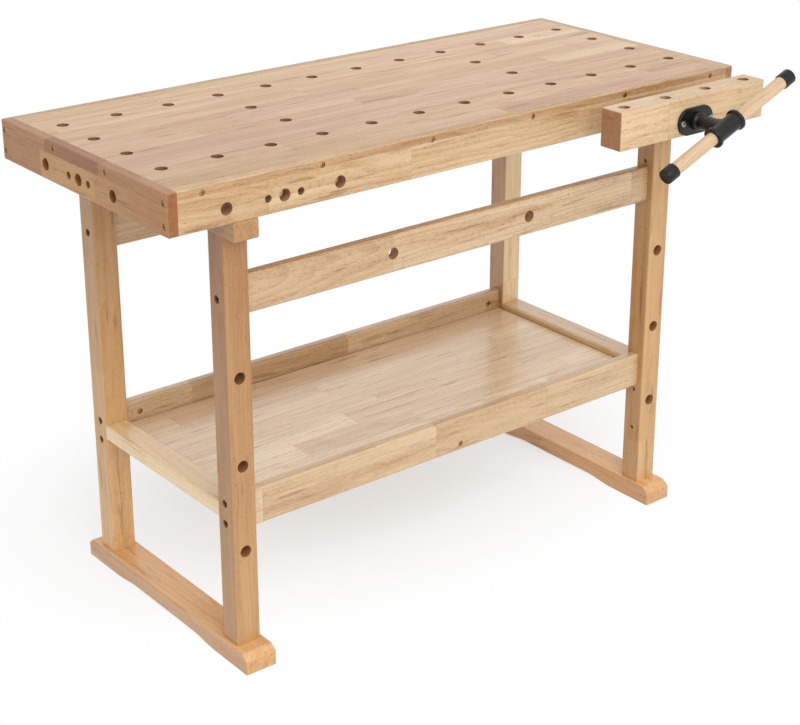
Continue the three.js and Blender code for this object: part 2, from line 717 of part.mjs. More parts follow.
// The cross hub: a boss and neck on the screw's axis, carrying a rimmed sleeve across it
function hubCasting() {
  const boss = hubBossDiameter / 2;
  const neck = neckDiameter / 2;
  const rear = -flangeFront - fitGap;
  const bossEnd = rear - hubBossLength;
  const neckProfile = [
    [0, -hubCentre], [neck, -hubCentre], [neck, bossEnd - hubRimRound], [boss, bossEnd + hubRimRound],
    [boss, rear], [0, rear],
  ];
  const half = hubLength / 2;
  const tube = hubDiameter / 2;
  const rim = hubRimDiameter / 2;
  const step = half - hubRimLength;
  const crown = rim - hubRimRound;
  const sleeveProfile = [
    [0, -half], [crown, -half], [rim, -half + hubRimRound], [rim, -step], [tube, -step + hubRimRound],
    [tube, step - hubRimRound], [rim, step], [rim, half - hubRimRound], [crown, half], [0, half],
  ];
  const sleeve = turned("x", sleeveProfile).translate(0, -hubCentre, 0);
  let hub = join(solidOf(turned("y", neckProfile)), sleeve);
  const bore = [-half - cutOverrun, half + cutOverrun];
  hub = cut(hub, roundBar("x", barDiameter + 2 * fitGap, ...bore, [-hubCentre, 0], turnedSides));
  const seat = [rear - screwSeatDepth, rear + cutOverrun];
  return cut(hub, roundBar("y", screwDiameter + 2 * fitGap, ...seat, [0, 0], dogSides));
}

// The wooden bar with a rubber cap on each end, along X through the hub
function addHandle(group) {
  const half = barLength / 2;
  addPiece(group, "handle_bar", roundBar("x", barDiameter, -half, half, [0, 0], turnedSides), barWood);
  const inner = barDiameter / 2 + fitGap;
  const outer = capDiameter / 2;
  const tip = half + fitGap + capEndThickness;
  const mouth = tip - capLength;
  const profile = [
    [0, half + fitGap], [inner, half + fitGap], [inner, mouth], [outer, mouth], [outer, tip - edgeEase],
    [outer - edgeEase / 2, tip - edgeEase / 2], [outer - edgeEase, tip], [0, tip],
  ];
  const cap = turned("x", profile);
  addPiece(group, "handle_cap_right", cap, blackRubber);
  const opposite = addPiece(group, "handle_cap_left", cap, blackRubber);
  opposite.rotation.z = Math.PI;
}

const bench = new THREE.Group();
addTop(bench);
addFeetAndBearers(bench);
addPosts(bench);
addSideStretchers(bench);
addUpperStretchers(bench);
addShelf(bench);
addFrameBolts(bench);

const vise = new THREE.Group();
vise.position.set(viseCentre, -halfDepth, viseHeight);
addViseBody(vise);
addJaw(vise);

// The screw and its hub stand turned so that the bar slopes up to the right
const screwGroup = new THREE.Group();
screwGroup.rotation.y = -THREE.MathUtils.degToRad(barTilt);
addScrew(screwGroup);
const handle = new THREE.Group();
handle.position.set(barSlide, -hubCentre, 0);
addHandle(handle);
screwGroup.add(handle);
vise.add(screwGroup);

// The origin is on the floor under the middle of the whole outline, vise included
const model = new THREE.Group();
model.position.y = (frontReach - backReach) / 2;
model.add(bench);
model.add(vise);

export default model;
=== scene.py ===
"""A woodworking bench with a twin-rod front vise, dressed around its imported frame.

Every board is one closed surface with rounded edges and drilled holes. Its grain runs along its own length,
through the "grain" attribute: metres along, across and through the board.
"""
import math
from typing import NamedTuple

import bpy
import numpy as np
from mathutils import Matrix, Vector


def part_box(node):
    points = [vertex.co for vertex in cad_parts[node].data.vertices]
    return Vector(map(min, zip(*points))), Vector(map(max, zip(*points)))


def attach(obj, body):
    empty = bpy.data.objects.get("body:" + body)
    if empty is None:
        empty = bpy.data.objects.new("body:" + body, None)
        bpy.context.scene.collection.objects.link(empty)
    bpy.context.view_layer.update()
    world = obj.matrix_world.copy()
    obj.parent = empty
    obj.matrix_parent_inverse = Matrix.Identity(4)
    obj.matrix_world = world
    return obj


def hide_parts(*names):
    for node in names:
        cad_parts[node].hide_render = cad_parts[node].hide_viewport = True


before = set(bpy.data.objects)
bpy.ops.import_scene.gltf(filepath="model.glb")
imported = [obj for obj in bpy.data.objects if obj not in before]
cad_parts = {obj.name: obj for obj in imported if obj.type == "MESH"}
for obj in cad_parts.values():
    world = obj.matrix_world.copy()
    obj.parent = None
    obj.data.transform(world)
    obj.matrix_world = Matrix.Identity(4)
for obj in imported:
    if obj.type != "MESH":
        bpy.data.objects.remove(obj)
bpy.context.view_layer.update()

MM = 0.001
X, Y, Z = 0, 1, 2
UNIT = np.eye(3)
LOW, HIGH = 0, 1

# Both ends of the bench: the corner of a box that lies outside there, and the way out along X
SIDES = (("left", LOW, -1), ("right", HIGH, 1))

BENCH = "bench"
JAW = "vise_jaw"
SCREW = "vise_screw"
HANDLE = "handle_bar"

# How finely surfaces are divided
ROUND_STEPS = 3
HOLE_STEPS = 10
TURN_STEPS = 48
SMALL_STEPS = 32
SUPPORT = 0.4 * MM
WELD = 1.37e-6
SHARP_ANGLE = math.radians(38)

# Edges of the boards and mouths of the holes
EDGE_ROUND = 2.6 * MM
PANEL_ROUND = 0.3 * MM
TRAY_ROUND = 5.5 * MM
RAIL_ROUND = 4.5 * MM
HOLE_ROUND = 0.7 * MM

# Width of the flat rim round a hole, which is less for screws near an edge
TILE_MARGIN = 2.2 * MM
APRON_SCREW_MARGIN = 0.6 * MM
END_SCREW_MARGIN = 0.4 * MM

# How far a board runs on into its neighbour, so that a tight joint shows no rounded edge
PANEL_LAP = 2.6 * MM
APRON_LAP = 5.2 * MM
FRAME_LAP = 3.2 * MM

# Open joint round the shelf, and the tongue below it
SHELF_GAP = 3.2 * MM
TONGUE_DROP = 10 * MM
TONGUE_FLOOR = 3 * MM

# Dog holes
DOG_RADIUS = 10 * MM
DOG_PITCH = 99 * MM
DOG_FIRST = 60 * MM
DOG_COLUMNS = 12
DOG_FULL_STEP = 3
DOG_ROW_FIRST = 111 * MM
DOG_ROW_PITCH = 100 * MM
DOG_ROWS = 4
JAW_DOGS = 4
STRETCHER_DOGS = (-150 * MM, 150 * MM)

# Bolts, barrel nuts, pilot holes and peg holes of the leg frames
BOLT_HEIGHTS = (639 * MM, 289 * MM, 253 * MM)
BOLT_RECESS_RADIUS = 6.5 * MM
BOLT_RECESS_DEPTH = 8 * MM
BARREL_RADIUS = 5.3 * MM
BARREL_DEPTH = 18.3 * MM
BARREL_INSET = 30 * MM
PILOT_HEIGHTS = (681 * MM, 226 * MM, 146 * MM)
PILOT_RADIUS = 3.5 * MM
PILOT_DEPTH = 12 * MM
PEG_HEIGHTS = (509 * MM, 357 * MM, 205 * MM)

# Wood screws: their recesses, and how far below the top and from the middle they sit
SCREW_RECESS_RADIUS = 4.7 * MM
SCREW_RECESS_DEPTH = 2.6 * MM
APRON_SCREWS = np.array([-540, -324, -108, 108, 324, 540]) * MM
PANEL_SCREW_DROP = 10 * MM
PANEL_SCREW_REACH = 80 * MM
CORNER_SCREW_DROPS = (17 * MM, 52 * MM)
CORNER_SCREW_REACH = 244 * MM
RAIL_SCREW_HEIGHT = 250 * MM

# Sled feet: slopes at the top ends, and the relief below
SLOPE_LENGTH = 13 * MM
SLOPE_DROP = 10 * MM
SLOPE_SOFTNESS = 0.12
RELIEF_RISE = 6 * MM
RELIEF_FLAT = 90 * MM
RELIEF_END = 160 * MM
BEND_LINES = np.linspace(0.3, 1.7, 25)
RAMP_STEPS = 20

# Vise
VISE_X = 390 * MM
VISE_Z = 802 * MM
VISE_AXIS = np.array([VISE_X, 0, VISE_Z])
OTHER_VISE_X = -395 * MM
END_VISE_OFFSET = 5 * MM
ROD_SPACING = 208 * MM
ROD_OFFSETS = (-ROD_SPACING / 2, ROD_SPACING / 2)
ROD_SOCKET_RADIUS = 9.8 * MM
ROD_SOCKET_DEPTH = 32 * MM
NUT_BOLT_SPACING = 60 * MM
NUT_BOLT_OFFSETS = (-NUT_BOLT_SPACING / 2, NUT_BOLT_SPACING / 2)
NUT_BOLT_RADIUS = 3.3 * MM
NUT_RECESS_RADIUS = 6 * MM
NUT_RECESS_DEPTH = 5 * MM
NUT_PLATE_THICKNESS = 6 * MM
FLANGE_EDGE = 1.4 * MM
FLANGE_FOOT = 0.3 * MM
FLANGE_STEPS = 5
FLANGE_SCREW_RADIUS = 5 * MM
FLANGE_SOCKET_WIDTH = 5.2 * MM
FLANGE_SOCKET_DEPTH = 2.7 * MM
SCREW_LEAD = 5 * MM
SCREW_RADIUS = 9 * MM
THREAD_DEPTH = 1.7 * MM
THREAD_STEPS = 10
THREAD_TURNS = (0, 0.22, 0.50, 0.72, 1)
THREAD_SUNK = (1, 0, 0, 1, 1)
PLAIN_LENGTH = 30 * MM
TIP_LENGTH = 3 * MM
TIP_RADIUS = 6.6 * MM

# Hub and sliding bar
BAR_TILT = math.radians(22.5)
BAR_WAY = np.array([math.cos(BAR_TILT), 0, math.sin(BAR_TILT)])
ACROSS_BAR = np.array([-math.sin(BAR_TILT), 0, math.cos(BAR_TILT)])
BAR_HALF = 160 * MM
HUB_HALF = 31.5 * MM
HUB_RADIUS = 15.5 * MM
HUB_RIM_RADIUS = 19 * MM
NECK_RADIUS = 12.5 * MM
NECK_FLARE = 2.6 * MM
FLARE_POWER = 5
NECK_STEPS = 12
NECK_SINK = 2.5 * MM
NECK_ROOT = 0.98
COLLAR_LENGTH = 10.5 * MM

# The floor: its reach each way, and its paint
FLOOR_REACH = 40.0
FLOOR_COLOUR = (0.9, 0.9, 0.9, 1)
FLOOR_ROUGHNESS = 0.9

# The floor's shadow: its middle, its reach each way, where it fades, and how much of the glow it keeps
SHADOW_MIDDLE = (0.10, 0.36, 0.0)
SHADOW_REACH = (0.75, 0.5, 1.0)
SHADOW_FADE = (0.15, 1.25)
SHADOW_GLOW = 0.45

# Surroundings, lamp and camera
WORLD_LIGHT = 0.68

LAMP_PLACE = (-1.0, -3.2, 2.9)
LAMP_TARGET = (0.0, 0.0, 0.5)
LAMP_SIZE = 3.6
LAMP_POWER = 88

CAMERA_PLACE = (-1.8384, -2.2322, 1.6296)
CAMERA_TURN = math.radians(-38.757)
CAMERA_TILT = math.radians(90 - 21.009)
SENSOR_WIDTH = 36.0
LENS = 79.7
LENS_SHIFT = -0.1
CLIP_END = 100.0


def box_of(node):
    """The low and high corners of a CAD node's box."""
    low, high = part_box(node)
    return np.array(low), np.array(high)


def middle_of(node):
    """The middle of a CAD node's box."""
    low, high = box_of(node)
    return (low + high) / 2


def srgb(red, green, blue):
    """A colour given by its screen values from 0 to 255, as the linear values that shaders use."""
    screen = np.array([red, green, blue]) / 255
    linear = np.where(screen <= 0.04045, screen / 12.92, ((screen + 0.055) / 1.055) ** 2.4)
    return (*linear.tolist(), 1.0)


class Form:
    """Points with their faces: quads as one array, and a few flat caps that have more corners.

    Each point also says how far it lies in a bore, and how far on a rounded edge.
    """

    def __init__(self, points, quads, caps=(), bore=0.0, edge=0.0):
        self.points = points
        self.quads = quads
        self.caps = list(caps)
        self.bore = np.broadcast_to(bore, len(points))
        self.edge = np.broadcast_to(edge, len(points))


def joined(forms):
    """Several forms as one, with their point numbers moved on."""
    starts = np.cumsum([0] + [len(form.points) for form in forms[:-1]])
    return Form(
        np.concatenate([form.points for form in forms]),
        np.concatenate([form.quads + start for form, start in zip(forms, starts)]),
        [cap + start for form, start in zip(forms, starts) for cap in form.caps],
        np.concatenate([form.bore for form in forms]),
        np.concatenate([form.edge for form in forms]),
    )


def welded(form):
    """The same form with points that share a place made one."""
    cells = np.round(form.points / WELD).astype(np.int64)
    _, first, index = np.unique(cells, axis=0, return_index=True, return_inverse=True)
    index = index.reshape(-1)
    caps = [index[cap] for cap in form.caps]
    return Form(form.points[first], index[form.quads], caps, form.bore[first], form.edge[first])


# Drilled blocks

# How late over a hole's rounded mouth its wall begins
BORE_POWER = 4


class Hole(NamedTuple):
    """A hole drilled along an axis into one side of a block, at a place given by the next two axes in turn.

    Each ring is radius, depth from that side, how far it lies in the bore, and how far on an edge. In the
    face the hole takes up a square, and its reach is half that square's width.
    """

    axis: int
    side: int
    place: tuple
    rings: np.ndarray
    through: bool
    reach: float

    def opens(self, axis, side):
        """Whether the hole opens in one face of its block."""
        return self.axis == axis and (self.through or self.side == side)


def hole(axis, side, place, rings, through=False, margin=TILE_MARGIN):
    """A hole whose square is its widest ring with a margin round it."""
    rings = np.vstack(rings)
    return Hole(axis, side, place, rings, through, rings[:, 0].max() + SUPPORT + margin)


def mouth(radius, far=None):
    """Rings over the rounded mouth of a hole: a quarter circle from the face into the wall.

    Where a far depth is given, the mouth is the one at that depth, from the wall out to the far face.
    """
    angle = np.linspace(0, math.pi / 2, ROUND_STEPS + 1)
    out = radius + HOLE_ROUND * (1 - np.sin(angle))
    down = HOLE_ROUND * (1 - np.cos(angle))
    bore = np.sin(angle) ** BORE_POWER
    edge = np.sin(2 * angle)
    rings = np.stack([out, down, bore, edge], axis=1)
    rings = np.vstack([[radius + HOLE_ROUND + SUPPORT, 0, 0, 0], rings])
    if far is not None:
        rings = rings[::-1].copy()
        rings[:, 1] = far - rings[:, 1]
    return rings


def through_hole(axis, place, radius, thickness):
    """A hole right through a block, with both mouths rounded."""
    return hole(axis, HIGH, place, [mouth(radius), mouth(radius, thickness)], through=True)


def blind_hole(axis, side, place, radius, depth, margin=TILE_MARGIN):
    """A hole with a flat floor."""
    return hole(axis, side, place, [mouth(radius), [radius, depth, 1, 0]], margin=margin)


def stepped_hole(axis, side, place, wide, step, narrow, thickness):
    """A wide recess that goes on through the block as a narrow hole."""
    inner = [[wide, step, 1, 0], [narrow, step, 1, 0]]
    return hole(axis, side, place, [mouth(wide), inner, mouth(narrow, thickness)], through=True)


def block_lines(axis, low, high, radius, holes, more):
    """Grid lines of one axis: at even angles over each rounded edge and across every hole, and more."""
    angle = np.linspace(math.pi / 4, 0, ROUND_STEPS + 1)
    rim = np.append(radius * (1 - np.tan(angle)), radius + SUPPORT)
    spread = np.tan(np.linspace(-math.pi / 4, math.pi / 4, HOLE_STEPS + 1))
    lines = [low[axis] + rim, high[axis] - rim, more.get(axis, np.empty(0))]
    for one in holes:
        for turn in (1, 2):
            if (one.axis + turn) % 3 == axis:
                lines.append(one.place[turn - 1] + one.reach * spread)
    lines = np.sort(np.concatenate(lines))
    apart = np.append(True, np.diff(lines) > 2 * WELD)
    return lines[apart]


def block_face(axis, side, low, high, radius, lines, holes):
    """One face of a rounded block: a flat grid, drawn in to the inner box and pushed out by the radius."""
    u, v = (axis + 1) % 3, (axis + 2) % 3
    grid_u, grid_v = np.meshgrid(lines[u], lines[v], indexing="ij")
    flat = np.empty(grid_u.shape + (3,))
    flat[..., u] = grid_u
    flat[..., v] = grid_v
    flat[..., axis] = (low, high)[side][axis]
    inner = np.clip(flat, low + radius, high - radius)
    away = flat - inner
    away /= np.linalg.norm(away, axis=-1, keepdims=True)
    points = inner + radius * away
    edge = np.clip((1 - np.abs(away).max(axis=-1)) / (1 - math.sqrt(0.5)), 0, 1)
    keep = np.ones((len(lines[u]) - 1, len(lines[v]) - 1), bool)
    middle_u = (lines[u][1:] + lines[u][:-1]) / 2
    middle_v = (lines[v][1:] + lines[v][:-1]) / 2
    for one in holes:
        if one.opens(axis, side):
            near_u = np.abs(middle_u - one.place[0]) < one.reach
            near_v = np.abs(middle_v - one.place[1]) < one.reach
            keep &= ~np.outer(near_u, near_v)
    index = np.arange(grid_u.size).reshape(grid_u.shape)
    quads = np.stack([index[:-1, :-1], index[1:, :-1], index[1:, 1:], index[:-1, 1:]], axis=-1)[keep]
    if side == LOW:
        quads = quads[:, ::-1]
    return Form(points.reshape(-1, 3), quads, edge=edge.reshape(-1))


def hole_wall(one, low, high, lines):
    """A hole's surface: rings round its axis, with the square of the grid before them.

    In a through hole the square stands after them too.
    """
    axis = one.axis
    u, v = (axis + 1) % 3, (axis + 2) % 3
    centre_u, centre_v = one.place
    in_u = lines[u][np.abs(lines[u] - centre_u) < one.reach + WELD]
    in_v = lines[v][np.abs(lines[v] - centre_v) < one.reach + WELD]
    square_u = np.concatenate([
        in_u[:-1], np.full(len(in_v) - 1, in_u[-1]), in_u[:0:-1], np.full(len(in_v) - 1, in_u[0])])
    square_v = np.concatenate([
        np.full(len(in_u) - 1, in_v[0]), in_v[:-1], np.full(len(in_u) - 1, in_v[-1]), in_v[:0:-1]])
    angle = np.arctan2(square_v - centre_v, square_u - centre_u)
    radii = one.rings[:, :1]
    last = int(one.through)
    depth, bore, edge = np.pad(one.rings[:, 1:], ((1, last), (0, 0))).T
    if one.through:
        depth[-1] = high[axis] - low[axis]
    inward = -1 if one.side == HIGH else 1
    points = np.empty((len(depth), len(angle), 3))
    points[..., u] = np.vstack([square_u, centre_u + radii * np.cos(angle)] + [square_u] * last)
    points[..., v] = np.vstack([square_v, centre_v + radii * np.sin(angle)] + [square_v] * last)
    points[..., axis] = ((low, high)[one.side][axis] + inward * depth)[:, None]
    form = loft(points, cap_start=False, cap_end=not one.through)
    if one.side == LOW:
        form.quads = form.quads[:, ::-1]
        form.caps = [cap[::-1] for cap in form.caps]
    form.bore = np.repeat(bore, len(angle))
    form.edge = np.repeat(edge, len(angle))
    return form


def drilled_block(low, high, radius, holes=(), more=None):
    """A closed block with rounded edges and its holes; more brings further grid lines for an axis."""
    lines = [block_lines(axis, low, high, radius, holes, more or {}) for axis in (X, Y, Z)]
    forms = [
        block_face(axis, side, low, high, radius, lines, holes)
        for axis in (X, Y, Z) for side in (LOW, HIGH)]
    forms += [hole_wall(one, low, high, lines) for one in holes]
    return welded(joined(forms))


# Turned and lofted forms

# A direction that rises more than this counts as upright
NEARLY_UPRIGHT = 0.9


def loft(loops, cap_start=True, cap_end=True):
    """Closed loops joined one to the next; a capped end is closed by one flat face."""
    rows, columns = loops.shape[:2]
    index = np.arange(rows * columns).reshape(rows, columns)
    after = np.roll(index, -1, axis=1)
    quads = np.stack([index[:-1], after[:-1], after[1:], index[1:]], axis=-1).reshape(-1, 4)
    caps = []
    if cap_start:
        caps.append(index[0][::-1])
    if cap_end:
        caps.append(index[-1])
    return Form(loops.reshape(-1, 3), quads, caps)


def loop_angles(steps):
    """Even angles once round a loop."""
    return np.linspace(0, 2 * math.pi, steps, endpoint=False)


def ways_round(direction, steps):
    """Unit vectors square to a direction, at even angles round it."""
    upright = UNIT[Z] if abs(direction[Z]) < NEARLY_UPRIGHT else UNIT[X]
    side = np.cross(upright, direction)
    side /= np.linalg.norm(side)
    angle = loop_angles(steps)[:, None]
    return np.cos(angle) * side + np.sin(angle) * np.cross(direction, side)


def spread_round(values, steps):
    """One row of equal values for each loop, where a loop doesn't bring its own row."""
    return np.stack([np.broadcast_to(value, (steps,)) for value in values])


def turned(base, direction, radii, stations, steps=TURN_STEPS, closed=False):
    """Loops round a line: each stands at its station along the line, at its radius from it.

    A radius or a station may also vary round the loop. A closed profile comes back to its first loop.
    """
    radii = spread_round(radii, steps)[..., None]
    stations = spread_round(stations, steps)[..., None]
    loops = base + stations * direction + radii * ways_round(direction, steps)
    return loft(loops, cap_start=not closed, cap_end=not closed)


def profile(*stretches):
    """Radii and stations of a turned form.

    Each stretch is a station and a row of loops: radius and distance past that station, in millimetres.
    """
    loops = [(radius * MM, start + past * MM) for start, row in stretches for radius, past in row]
    return np.array(loops).T


def plate(outline, outward, axis_vector, insets, heights):
    """An outline stacked into a plate: each loop is drawn in by its inset and lifted to its height."""
    loops = [outline - inset * outward + height * axis_vector for inset, height in zip(insets, heights)]
    return loft(np.stack(loops))


def stadium(centre, length, height, steps=SMALL_STEPS):
    """A slot outline standing in the XZ plane, seen from the front, with its outward directions."""
    radius = height / 2
    angle = np.linspace(-math.pi / 2, math.pi / 2, steps)
    right = np.stack([np.cos(angle), np.zeros(steps), np.sin(angle)], axis=1)
    outward = np.concatenate([right, -right])
    outline = centre + radius * outward
    outline[:, X] += np.repeat([1, -1], steps) * (length / 2 - radius)
    return outline, outward


# Fasteners

# Rim of a head and depth of its recess's lip, as shares of the head's radius
RIM_SHARE = 0.12
LIP_SHARE = 0.06

# Width of the lip and of the floor of a recess, as shares of its outline
LIP_SPREAD = 1.04
FLOOR_SHARE = 0.82

# Keeps the outline of a slot from dividing by nothing
TINY = 1e-6


class Head(NamedTuple):
    """A fastener's head: its sizes, and how far its recess reaches from its middle at even angles."""

    radius: float
    height: float
    recess: np.ndarray
    depth: float
    crown: float = 0.0


def hexagon(width):
    """Distances from the middle of a hexagon to its sides, for a given width across the flats."""
    sector = math.pi / 3
    return width / 2 / np.cos((loop_angles(SMALL_STEPS) + sector / 2) % sector - sector / 2)


def groove(half_width, half_length, turn=0.0):
    """Distances from the middle of a straight slot to its outline."""
    angle = loop_angles(SMALL_STEPS) + turn
    along = np.abs(np.cos(angle)) + TINY
    beside = np.abs(np.sin(angle)) + TINY
    return np.minimum(half_length / along, half_width / beside)


def cross(half_width, half_length):
    """Distances from the middle of a plus sign to its outline: the further of two slots at right angles."""
    return np.maximum(groove(half_width, half_length), groove(half_width, half_length, math.pi / 2))


def fastener(place, direction, head):
    """A fastener's head: a rounded rim round a crowned face, with a recess of its own outline sunk in it."""
    rim = RIM_SHARE * head.radius
    angle = np.linspace(0, math.pi / 2, ROUND_STEPS + 1)
    top = head.height + head.crown
    radii = [head.radius, *(head.radius - rim + rim * np.cos(angle))]
    radii += [head.recess * LIP_SPREAD, head.recess, head.recess * FLOOR_SHARE]
    stations = [0, *(head.height - rim + rim * np.sin(angle))]
    stations += [top, top - LIP_SHARE * head.radius, top - head.depth]
    return turned(place, direction, radii, stations, SMALL_STEPS)


POST_BOLT = Head(radius=5.4 * MM, height=5 * MM, recess=hexagon(5 * MM), depth=3 * MM)
BARREL_NUT = Head(radius=5 * MM, height=16 * MM, recess=groove(0.7 * MM, 4.2 * MM), depth=2 * MM)
WOOD_SCREW = Head(
    radius=4.2 * MM, height=1.5 * MM, recess=cross(0.55 * MM, 2.3 * MM), depth=1.5 * MM, crown=0.4 * MM)
NUT_BOLT = Head(radius=5.5 * MM, height=4.4 * MM, recess=hexagon(5 * MM), depth=3 * MM)


# Pieces

# How soon end grain fades where a face turns away from the end of its board
END_GRAIN_POWER = 3


class Finish(NamedTuple):
    """A material, and the record's slot that it stands for; the slot is not used."""

    material: bpy.types.Material
    slot: str


class ToneAndShade(NamedTuple):
    """A board's own tone and painted shade: how much darker it is at its start and its end, more at its far
    edge as painted light and shade, and more on faces turned to the left as painted shade. Negative values
    make it lighter.
    """

    start: float = 0.0
    end: float = 0.0
    far_edge_shade: float = 0.0
    left_face_shade: float = 0.0


def store(mesh, name, values):
    """Keeps one number, or one vector, for each point of a mesh."""
    values = np.asarray(values, np.float32)
    kind, field = ("FLOAT", "value") if values.ndim == 1 else ("FLOAT_VECTOR", "vector")
    mesh.attributes.new(name, kind, "POINT").data.foreach_set(field, values.reshape(-1))


def make_piece(name, form, finish, body, *nodes):
    """A form as a Blender object that rides on a body in the place of CAD nodes.

    It is smooth except over its sharp edges, and keeps its bore and edge attributes.
    """
    form = welded(form)
    mesh = bpy.data.meshes.new(name)
    mesh.from_pydata(form.points.tolist(), [], form.quads.tolist() + [cap.tolist() for cap in form.caps])
    mesh.validate()
    mesh.shade_smooth()
    mesh.set_sharp_from_angle(angle=SHARP_ANGLE)
    store(mesh, "bore", form.bore)
    store(mesh, "edge", form.edge)
    mesh.materials.append(finish.material)
    piece = bpy.data.objects.new(name, mesh)
    bpy.context.scene.collection.objects.link(piece)
    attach(piece, body)
    if nodes:
        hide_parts(*nodes)
    return piece


def lay_grain(piece, base, ways, number, tone_and_shade=ToneAndShade()):
    """Gives a wooden piece its grain: metres along three ways from a base point, and its end grain.

    The ways run along, across and through it. The number sets its staves apart from other boards.
    """
    mesh = piece.data
    count = len(mesh.vertices)
    points = np.empty(count * 3)
    mesh.vertices.foreach_get("co", points)
    normals = np.empty(count * 3)
    mesh.vertex_normals.foreach_get("vector", normals)
    normals = normals.reshape(-1, 3)
    grain = (points.reshape(-1, 3) - base) @ ways.T
    store(mesh, "grain", grain)
    store(mesh, "end_grain", np.abs(normals @ ways[0]) ** END_GRAIN_POWER)
    store(mesh, "board", np.full(count, number))
    # Tone and painted shade: darker from start to end along the grain, towards the far edge, and on faces
    # turned to -X
    share = (grain - grain.min(axis=0)) / np.ptp(grain, axis=0)
    shade = tone_and_shade.start + (tone_and_shade.end - tone_and_shade.start) * share[:, 0] + tone_and_shade.far_edge_shade * share[:, 1]
    store(mesh, "tone_and_shade", shade + tone_and_shade.left_face_shade * np.maximum(-normals[:, X], 0))


def board(name, node, axes, finish, number, holes=(), radius=EDGE_ROUND, limits=None, lap=(0, 0, 0),
          body=BENCH, tone_and_shade=ToneAndShade()):
    """A board in the place of a CAD node, run on by its lap at both ends of each axis.

    The axes name the ways along, across and through its grain. Its limits are the node's box, unless given.
    """
    low, high = limits or box_of(node)
    low = low - lap
    high = high + lap
    piece = make_piece(name, drilled_block(low, high, radius, holes), finish, body, node)
    lay_grain(piece, low, UNIT[list(axes)], number, tone_and_shade)


# Shader helpers


def set_inputs(node, inputs):
    """Links a node's inputs from sockets, or sets them to values."""
    for key, value in inputs.items():
        if isinstance(value, bpy.types.NodeSocket):
            node.id_data.links.new(value, node.inputs[key])
        else:
            node.inputs[key].default_value = value


def add_node(tree, kind, inputs=None, **settings):
    """A shader node with its settings and its inputs."""
    node = tree.nodes.new(kind)
    for name, value in settings.items():
        setattr(node, name, value)
    set_inputs(node, inputs or {})
    return node


def tree_of(values):
    """The node tree of the first socket among some values."""
    return next(value.id_data for value in values if isinstance(value, bpy.types.NodeSocket))


def maths(operation, *values):
    """A number worked out from numbers and sockets."""
    node = add_node(tree_of(values), "ShaderNodeMath", dict(enumerate(values)), operation=operation)
    return node.outputs[0]


def vectors(operation, *values):
    """A vector, or a length, worked out from vectors."""
    node = add_node(tree_of(values), "ShaderNodeVectorMath", dict(enumerate(values)), operation=operation)
    return node.outputs["Value" if operation == "LENGTH" else "Vector"]


def mixed(factor, first, second, way="MIX"):
    """A colour between two others, or further on where the factor leaves 0 to 1."""
    node = add_node(
        tree_of([factor, first]), "ShaderNodeMix", {0: factor, 6: first, 7: second}, data_type="RGBA",
        blend_type=way, clamp_factor=False)
    return node.outputs[2]


def deepened(colour, tint, mark, strength=1.0):
    """A colour multiplied by a tint, as far as a mark and its strength say."""
    return mixed(maths("MULTIPLY", mark, strength), colour, tint, "MULTIPLY")


def ranged(value, from_low, from_high, to_low=0.0, to_high=1.0):
    """A smooth step from one number to another, while a value crosses its range."""
    node = add_node(
        value.id_data, "ShaderNodeMapRange", {0: value, 1: from_low, 2: from_high, 3: to_low, 4: to_high},
        interpolation_type="SMOOTHSTEP")
    return node.outputs[0]


def varied(mark, middle, spread):
    """A number that a mark from 0 to 1 spreads evenly round its middle."""
    return maths("MULTIPLY_ADD", mark, spread, middle - spread / 2)


def noise(vector, waves, detail=2.0, roughness=0.5):
    """Smooth noise from 0 to 1, with its own waves per metre along each direction."""
    scaled = vectors("MULTIPLY", vector, waves)
    node = add_node(
        vector.id_data, "ShaderNodeTexNoise",
        {"Vector": scaled, "Scale": 1.0, "Detail": detail, "Roughness": roughness})
    return node.outputs[0]


def chance(tree, *key):
    """Random values for a key of three numbers."""
    key = add_node(tree, "ShaderNodeCombineXYZ", dict(enumerate(key))).outputs[0]
    return add_node(tree, "ShaderNodeTexWhiteNoise", {"Vector": key}, noise_dimensions="3D").outputs


def split(vector):
    """The three numbers of a vector."""
    return add_node(vector.id_data, "ShaderNodeSeparateXYZ", {0: vector}).outputs


def bumped(height, strength, distance):
    """The normals of a fine relief."""
    inputs = {"Strength": strength, "Distance": distance, "Height": height}
    return add_node(height.id_data, "ShaderNodeBump", inputs).outputs[0]


def attribute(tree, name):
    """What a piece keeps for each of its points."""
    return add_node(tree, "ShaderNodeAttribute", attribute_name=name).outputs


def seen_rays(tree):
    """1 for rays that are seen, mirrored or seen through something, and 0 for those that only light."""
    path = add_node(tree, "ShaderNodeLightPath").outputs
    seen = maths("MAXIMUM", path["Is Camera Ray"], path["Is Glossy Ray"])
    return maths("MAXIMUM", seen, path["Is Transmission Ray"])


# Effects that materials share

FLOAT, VECTOR = "NodeSocketFloat", "NodeSocketVector"

# Staves: finger joints, how far rows and staves are shifted and sway, and the width of a glue line
FINGER_PITCH = 2.4 * MM
FINGER_SLOPE = 2.6
ROW_KEY = 3.7
ROW_SHIFT = 7.3
SWAY_PITCH = 4.1
SWAY_START = 40.0
SWAY_REACH = 0.18
STAVE_SHIFT = (3.0, 0.14, 0.10)
GLUE_INNER = 0.15 * MM
GLUE_OUTER = 0.7 * MM

# Noises of the figure: waves per metre along, across and through, then detail and roughness
WANDER = ((3.0, 22.0, 22.0), 2.0)
CURL = ((13.0, 48.0, 48.0), 1.0)
STREAK = ((3.4, 85.0, 85.0), 4.0, 0.62)
FIBRE = ((11.0, 430.0, 430.0), 3.0, 0.6)
DASHES = ((115.0, 1050.0, 1050.0), 1.0)
CLOUD = ((2.6, 26.0, 26.0), 3.0)
STAIN = ((8.0, 95.0, 95.0), 3.0, 0.6)
PATCHES = ((45.0, 45.0, 45.0), 3.0)

# Growth rings: how far they lean and wander, how they darken, and where the dark edge falls off
LEAN_REACH = 0.16
WANDER_REACH = 2.6
RING_POWER = 2.2
RING_EDGE = 0.86

